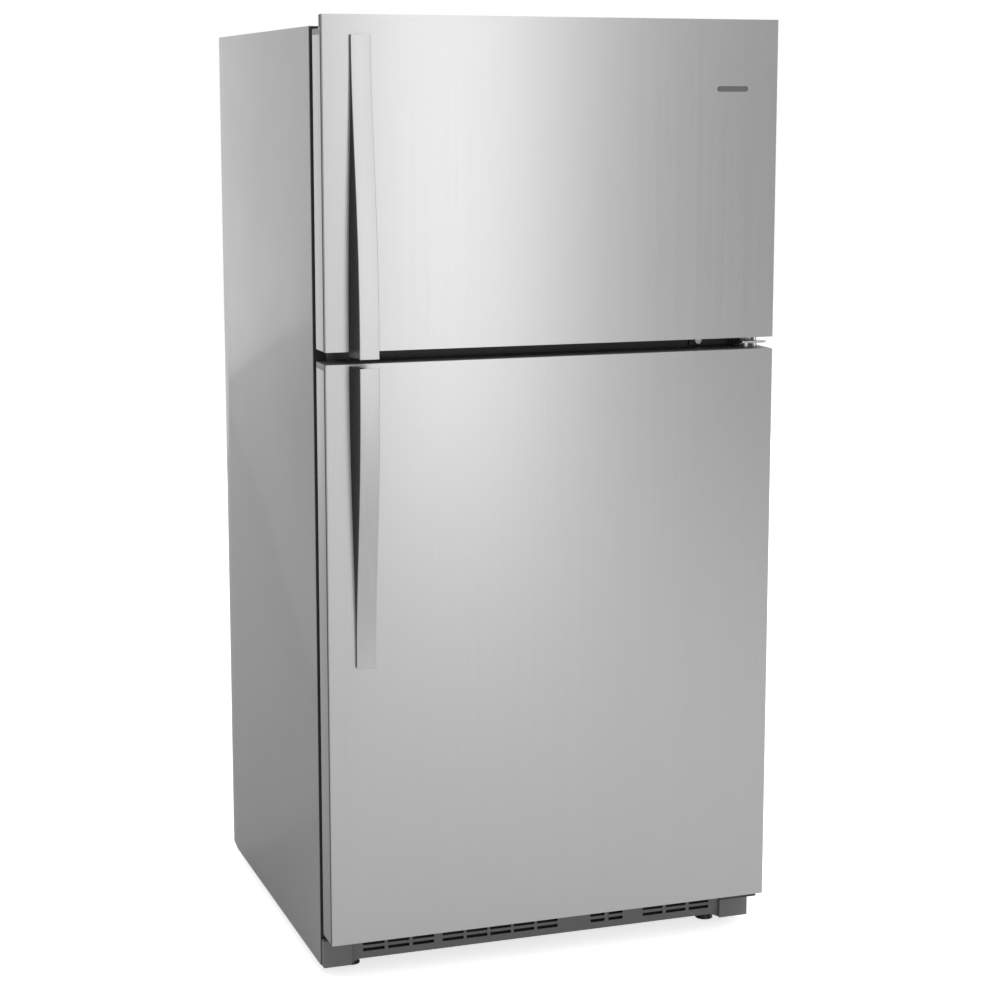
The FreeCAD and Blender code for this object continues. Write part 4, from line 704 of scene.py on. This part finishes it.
def back_sheet():
    """Height = a field inside a margin, less four upright beads with round ends."""
    low, high = span("back_panel", 2)
    x = np.linspace(-CABINET_HALF + 1 * MM, CABINET_HALF - 1 * MM, 131)
    z = np.linspace(low, high - 1 * MM, 151)
    across, up = np.meshgrid(x, z, indexing="ij")
    middle = (low + high) / 2
    field_half = (high - low) / 2 - FIELD_END
    outside = beyond(across, up - middle, CABINET_HALF - FIELD_SIDE, field_half, FIELD_CORNER)
    field = smooth(-outside / FIELD_SLOPE)
    beads = 0
    for place in BEAD_PLACES:
        past = np.maximum(np.abs(up - middle) - (high - low) / 2 + BEAD_END, 0)
        beads = beads + bead(np.hypot(across - place, past), BEAD_HALF)
    y = span("back_panel", 1)[1] - 0.2 * MM + PRESS * field - 2 * PRESS / 3 * beads
    mesh = surface("back_sheet", np.stack([across, y, up], axis=-1))
    piece("back_sheet", mesh, galvanised, "cabinet", ["back_panel"], wall=0.8 * MM,
          facing=(0, 1, 0))


back_sheet()

# %% Louvre hoods and screws
HOOD_ROWS = 7
HOOD_FIRST = 132 * MM
HOOD_PITCH = 18 * MM
HOOD_ENDS = np.array([(-346, -60), (60, 346)]) * MM
HOOD_STAND = 5 * MM
HEX = 4.6 * MM


def hoods():
    """One quarter-round hood for each slot: it stands off by 5 mm * the arc * a smooth rise at each end."""
    slot_low = HOOD_FIRST + HOOD_PITCH * np.arange(HOOD_ROWS)
    along = np.linspace(0, 1, 25)[:, None]
    arc = np.linspace(0, 1, 7)[None, :]
    face = span("machine_cover", 1)[1]
    patches = []
    for low in slot_low:
        for x0, x1 in HOOD_ENDS:
            x = x0 + (x1 - x0) * along
            rise = smooth(np.minimum(x - x0, x1 - x) / (9 * MM)) + 0 * arc
            y = face - 0.3 * MM + HOOD_STAND * np.sin(arc * math.pi / 2) * rise
            z = low + 10 * MM - 9 * MM * (1 - np.cos(arc * math.pi / 2)) - 1 * MM
            patches.append(np.stack(np.broadcast_arrays(x, y, z), axis=-1))
    mesh = surface("louvre_hoods", np.stack(patches))
    piece("louvre_hoods", mesh, galvanised, "cabinet", wall=0.7 * MM, facing=(0, 1, 0))
    return len(patches)


def screw_heads(name, places, y):
    """Revolved outline: a washer face, then a hexagon r = R cos(30) / cos(angle to its nearest flat)."""
    turn = np.radians(np.linspace(0, 360, 36, endpoint=False))
    hexagon = HEX * math.cos(math.pi / 6) / np.cos((turn % (math.pi / 3)) - math.pi / 6)
    ring = np.ones_like(turn)
    radius = np.stack([6 * MM * ring, 6 * MM * ring, 5 * MM * ring, hexagon, hexagon, 0.86 * hexagon,
                       0.3 * hexagon, 0 * ring])
    height = np.array([-0.4, 0.6, 1.0, 1.1, 3.6, 4.1, 4.2, 4.2]) * MM
    heads = [np.stack(np.broadcast_arrays(x + radius * np.cos(turn), y + height[:, None],
                                          z + radius * np.sin(turn)), axis=-1) for x, z in places]
    mesh = surface(name, np.stack(heads), loop=True)
    piece(name, mesh, zinc, "cabinet", facing=(0, 1, 0))


low, high = span("back_panel", 2)
edge = CABINET_HALF - 14 * MM
places = [(side * edge, z) for side in (-1, 1) for z in np.linspace(low + 60 * MM, high - 40 * MM, 6)]
places += [(x, high - 16 * MM) for x in np.linspace(-0.3, 0.3, 4)]
places += [(x, low - 14 * MM) for x in np.linspace(-0.36, 0.36, 5)]
places += [(side * edge, 0.11) for side in (-1, 1)]
screw_heads("back_screws", places, span("back_panel", 1)[1])
print(hoods(), "hoods and", len(places), "screws on the back")

# %% [markdown]
# ## Cavities
# Each cavity is one white sheet drawn over a mould, so no edge inside is sharp. It is a loft from one side
# wall to the other: a side outline with round corners, inset along a quarter circle where it meets the
# walls. Ribs pressed in the side walls carry the shelves.

# %% Liners
EDGE = 10 * MM
CORNER = 14 * MM


def cavity(name, corners, pushes, node):
    """Side outlines whose corners move by the inset, whose radii shrink or grow by it, from wall to wall."""
    turn = np.radians(np.linspace(0, 90, 6))
    near = np.column_stack([-CAVITY_HALF + EDGE * (1 - np.cos(turn)), EDGE * (1 - np.sin(turn))])
    stations = np.concatenate([near, near[::-1] * [-1, 1]])
    corners, pushes = np.array(corners), np.array(pushes)
    convex = np.array([1] * (len(corners) - 2))
    if len(corners) > 4:
        convex[1] = -1
    rows = []
    for x, inset in stations:
        outline = bent(corners + pushes * inset, CORNER - convex * inset, 6)
        rows.append(np.column_stack([np.full(len(outline), x), outline]))
    mesh = surface(name, np.stack(rows), caps=True)
    piece(name, mesh, liner_white, "cabinet", [node], wall=-LINER)


front = CABINET_FRONT
cavity("freezer_cavity",
       [(front, FREEZER_LOW), (CAVITY_BACK, FREEZER_LOW), (CAVITY_BACK, FREEZER_HIGH), (front, FREEZER_HIGH)],
       [(0, 1), (-1, 1), (-1, -1), (0, -1)], "freezer_liner")
cavity("fridge_cavity",
       [(front, FRIDGE_LOW), (HUMP_FRONT, FRIDGE_LOW), (HUMP_FRONT, HUMP_TOP), (CAVITY_BACK, HUMP_TOP),
        (CAVITY_BACK, FRIDGE_HIGH), (front, FRIDGE_HIGH)],
       [(0, 1), (-1, 1), (-1, 1), (-1, 1), (-1, -1), (0, -1)], "fridge_liner")


def rim(name, low, high):
    """Rounded lip round a cavity's mouth, over the foam's edge."""
    inset = np.array([-5, -5, -4.4, -1.2, -0.2, 0.05]) * MM
    y = CABINET_FRONT + np.array([1.2, 0.2, -0.3, -0.3, 0.3, 2.0]) * MM
    mesh = surface(name, framed(CAVITY_HALF, low, high, EDGE, inset, y), loop=True)
    piece(name, mesh, liner_white, "cabinet", facing=(0, -1, 0))


rim("freezer_rim", FREEZER_LOW, FREEZER_HIGH)
rim("fridge_rim", FRIDGE_LOW, FRIDGE_HIGH)
print("cavities lined")

# %% Ribs under the shelves
def shelf_ribs():
    """Half-round ribs: depth * sine over the height, times a smooth rise at both ends."""
    shelf_low = [span("freezer_shelf", 2)[0]] + [HUMP_TOP, HUMP_TOP + SHELF_PITCH, HUMP_TOP + 2 * SHELF_PITCH]
    ends = [(-205, 274)] + [(-185, 190)] + [(-185, 336)] * 2
    along = np.linspace(0, 1, 40)[:, None]
    over = np.linspace(0, math.pi, 9)[None, :]
    patches = []
    for level, (y0, y1) in zip(shelf_low, ends):
        y = (y0 + (y1 - y0) * along) * MM
        rise = smooth(np.minimum(along, 1 - along) * (y1 - y0) / 16)
        for side in (-1, 1):
            x = side * (CAVITY_HALF + 0.5 * MM - 8 * MM * np.sin(over) * rise)
            z = level - 0.2 * MM - 7 * MM * (1 - np.cos(over)) / 2
            patches.append(np.stack(np.broadcast_arrays(x, y, z), axis=-1)[:, ::side])
    mesh = surface("shelf_ribs", np.stack(patches))
    piece("shelf_ribs", mesh, liner_white, "cabinet", wall=1.0 * MM, facing=(0, 0, 1))
    return len(patches)


SHELF_PITCH = (FRIDGE_HIGH - HUMP_TOP) / 3
print(shelf_ribs(), "ribs")

# %% [markdown]
# ## Behind the grille, and over the middle hinge
# Air enters through the toe grille's slots and meets a black baffle, so the slots look black. The middle
# hinge's flange lies under a black cover, and only its screw and its two knuckles show.

# %% Baffle and hinge flange cover
def baffle():
    """Shallow channel behind the slots: a back, a top and a foot, carried across the grille."""
    half = span("toe_grille", 0)[1] - 58 * MM
    y0, y1 = span("toe_grille", 1)
    front, back, foot, top = y0 + 13 * MM, y1 + 4 * MM, 24 * MM, 62 * MM
    outline = bent([(front, foot), (back, foot), (back, top), (front, top)], [3 * MM, 3 * MM], 5)
    mesh = surface("grille_baffle", carried(outline, 0, np.linspace(-half, half, 5)), caps=True)
    piece("grille_baffle", mesh, rubber, "cabinet", wall=0.8 * MM, facing=(0, -1, 0))


def flange_cover():
    """Rounded rectangles that step in and forward over the hinge's flange."""
    low, high = span("center_hinge", 2)
    middle = (low + high) / 2
    x0, x1 = span("center_hinge", 0)
    inset = np.array([0, 0, 0.7, 1.4]) * MM
    face = CABINET_FRONT - 3 * MM
    points = framed((x1 - x0 - 24 * MM) / 2, middle - 9.7 * MM, middle + 9.7 * MM, 3 * MM, inset,
                    face + np.array([3.2, -0.4, -0.8, -0.8]) * MM)
    points[..., 0] += x0 - 0.5 * MM + (x1 - x0 - 24 * MM) / 2
    mesh = surface("hinge_flange_cover", points, loop=True, caps=True)
    piece("hinge_flange_cover", mesh, black_plastic, "cabinet", facing=(0, -1, 0))


baffle()
flange_cover()
print("baffle and flange cover made")

# %% [markdown]
# ## Small parts on the doors
# A plain plaque sits at the freezer door's upper corner, and round buttons close the hinge holes that the
# left side would use if the doors were hung the other way.

# %% Plaque and hole buttons
PLAQUE_X = 328 * MM
PLAQUE_HALF = 29 * MM
PLAQUE_LOW, PLAQUE_HIGH = 1558 * MM, 1568 * MM
PLAQUE_CORNER = 4 * MM


def plaque():
    """Rounded rectangles that step in and forward: a rim 1.2 mm high round a slightly sunk field."""
    inset = np.array([0, 0, 0.5, 1.2, 1.6, 3.4]) * MM
    height = np.array([-0.3, 0.7, 1.1, 1.1, 0.7, 0.7]) * MM
    points = framed(PLAQUE_HALF, PLAQUE_LOW, PLAQUE_HIGH, PLAQUE_CORNER, inset, DOOR_FRONT - height)
    points[..., 0] += PLAQUE_X
    mesh = surface("plaque", points, loop=True, caps=True)
    piece("plaque", mesh, plaque_steel, "freezer_door", facing=(0, -1, 0))


plaque_steel = brushed("stainless_steel_etched", ("#6c6c6c", "#7a7a7a"), 0.32, 0.6, 0.05)
plaque()


def button(name, x, y, z, body, axis):
    """Revolved dome: radius times the cosine and rise times the sine of one quarter turn, on a thin brim."""
    rise = np.linspace(0, 90, 8)
    radius = np.concatenate([[6, 6], 5.2 * np.cos(np.radians(rise))]) * MM
    height = np.concatenate([[-0.5, 0.5], 0.6 + 1.4 * np.sin(np.radians(rise))]) * MM
    turn = np.radians(np.linspace(0, 360, 32, endpoint=False))
    circle = np.stack([np.cos(turn), np.sin(turn)], axis=-1)
    points = np.empty((len(radius), len(turn), 3))
    others = [a for a in range(3) if a != abs(axis) - 1]
    points[..., others] = radius[:, None, None] * circle
    points[..., abs(axis) - 1] = math.copysign(1, axis) * height[:, None]
    mesh = surface(name, points + [x, y, z], loop=True)
    facing = [0, 0, 0]
    facing[abs(axis) - 1] = math.copysign(1, axis)
    piece(name, mesh, cap_plastic, body, facing=tuple(facing))


BUTTON_X = 28 * MM - span("top_hinge", 0)[1]
FRONT_BUTTON_X = -387 * MM
button("cabinet_top_button_front", BUTTON_X, CABINET_FRONT + 22 * MM, CABINET_TOP, "cabinet", 3)
button("cabinet_top_button_rear", BUTTON_X, CABINET_FRONT + 52 * MM, CABINET_TOP, "cabinet", 3)
button("cabinet_front_button", FRONT_BUTTON_X, CABINET_FRONT, (FREEZER_LOW + FRIDGE_HIGH) / 2, "cabinet", -2)
print("plaque and buttons made")

# %% [markdown]
# ## Studio
# Steel shows the room, so the room is designed for it: a tall soft panel in front, whose reflection is the
# pale band on the doors, a wide light above the front, which fades down the doors, a bright wall behind for
# the painted side and the top, and a panel on the right for that side. The floor and the surroundings are
# plain and pale. The Light Path node tells rays from the camera apart, so the floor can look as white as the
# background without lighting more.

# %% Floor
def floor():
    """Flat square 24 m across, level with the feet."""
    edge = np.array([-12.0, 12.0])
    x, y = np.meshgrid(edge, edge, indexing="ij")
    mesh = surface("floor", np.stack([x, y, 0 * x - 0.2 * MM], axis=-1))
    finish = start("matt_paint_white")
    speckle = pattern(finish, "ShaderNodeTexNoise", (4.0,) * 3, Detail=2.0)
    dull = add(finish, "ShaderNodeMapRange", {"Value": speckle.outputs["Fac"], "To Min": 0.85,
                                              "To Max": 0.95})
    seen = add(finish, "ShaderNodeLightPath", {})
    glow = add(finish, "ShaderNodeMapRange", {"Value": seen.outputs["Is Camera Ray"], "To Min": 0.10,
                                              "To Max": 0.72})
    shader = add(finish, "ShaderNodeBsdfPrincipled", {
        "Base Color": linear("#e0e0e0"), "Specular IOR Level": 0.1, "Roughness": dull.outputs[0],
        "Emission Color": linear("#ffffff"), "Emission Strength": glow.outputs[0]})
    add(finish, "ShaderNodeOutputMaterial", {"Surface": shader.outputs[0]})
    mesh.materials.append(finish)
    obj = bpy.data.objects.new("floor", mesh)
    bpy.context.scene.collection.objects.link(obj)


floor()

# %% Lights
def softbox(name, place, target, size, radiance):
    """Area light whose power is pi * its area * the radiance it should show in a mirror."""
    light = bpy.data.lights.new(name, "AREA")
    light.shape = "RECTANGLE"
    light.size, light.size_y = size
    light.energy = math.pi * size[0] * size[1] * radiance
    obj = bpy.data.objects.new(name, light)
    obj.location = place
    obj.rotation_euler = (Vector(target) - Vector(place)).to_track_quat("-Z", "Y").to_euler()
    obj.visible_camera = False
    bpy.context.scene.collection.objects.link(obj)


softbox("front_panel", (1.06, -5.4, 1.55), (0, -0.37, 1.3), (1.05, 3.2), 3.1)
softbox("front_overhead", (0.7, -2.8, 4.2), (0.0, -1.5, 0), (5.0, 4.0), 2.0)
softbox("backdrop", (-0.5, 5.0, 1.95), (0, 0, 1.6), (9.0, 3.8), 1.02)
softbox("right_panel", (4.2, 1.2, 1.5), (0.3, -0.2, 1.2), (2.4, 3.0), 2.0)

world = bpy.data.worlds.new("studio")
world.use_nodes = True
world.node_tree.nodes.clear()
seen = add(world, "ShaderNodeLightPath", {})
room = add(world, "ShaderNodeBackground", {"Color": linear("#b8b8b8")})
white = add(world, "ShaderNodeBackground", {"Color": linear("#ffffff")})
blend = add(world, "ShaderNodeMixShader", {0: seen.outputs["Is Camera Ray"], 1: room.outputs[0],
                                           2: white.outputs[0]})
add(world, "ShaderNodeOutputWorld", {"Surface": blend.outputs[0]})
bpy.context.scene.world = world
bpy.context.scene.view_settings.view_transform = "Standard"
print("studio lit")

# %% Camera
camera = bpy.data.cameras.new("camera")
camera.lens = 80.87
camera.shift_y = -0.04
holder = bpy.data.objects.new("camera", camera)
holder.location = (-1.3707, -4.0077, 1.5360)
holder.rotation_euler = (math.radians(90 - 8.995), 0, math.radians(-19.196))
bpy.context.scene.collection.objects.link(holder)
bpy.context.scene.camera = holder
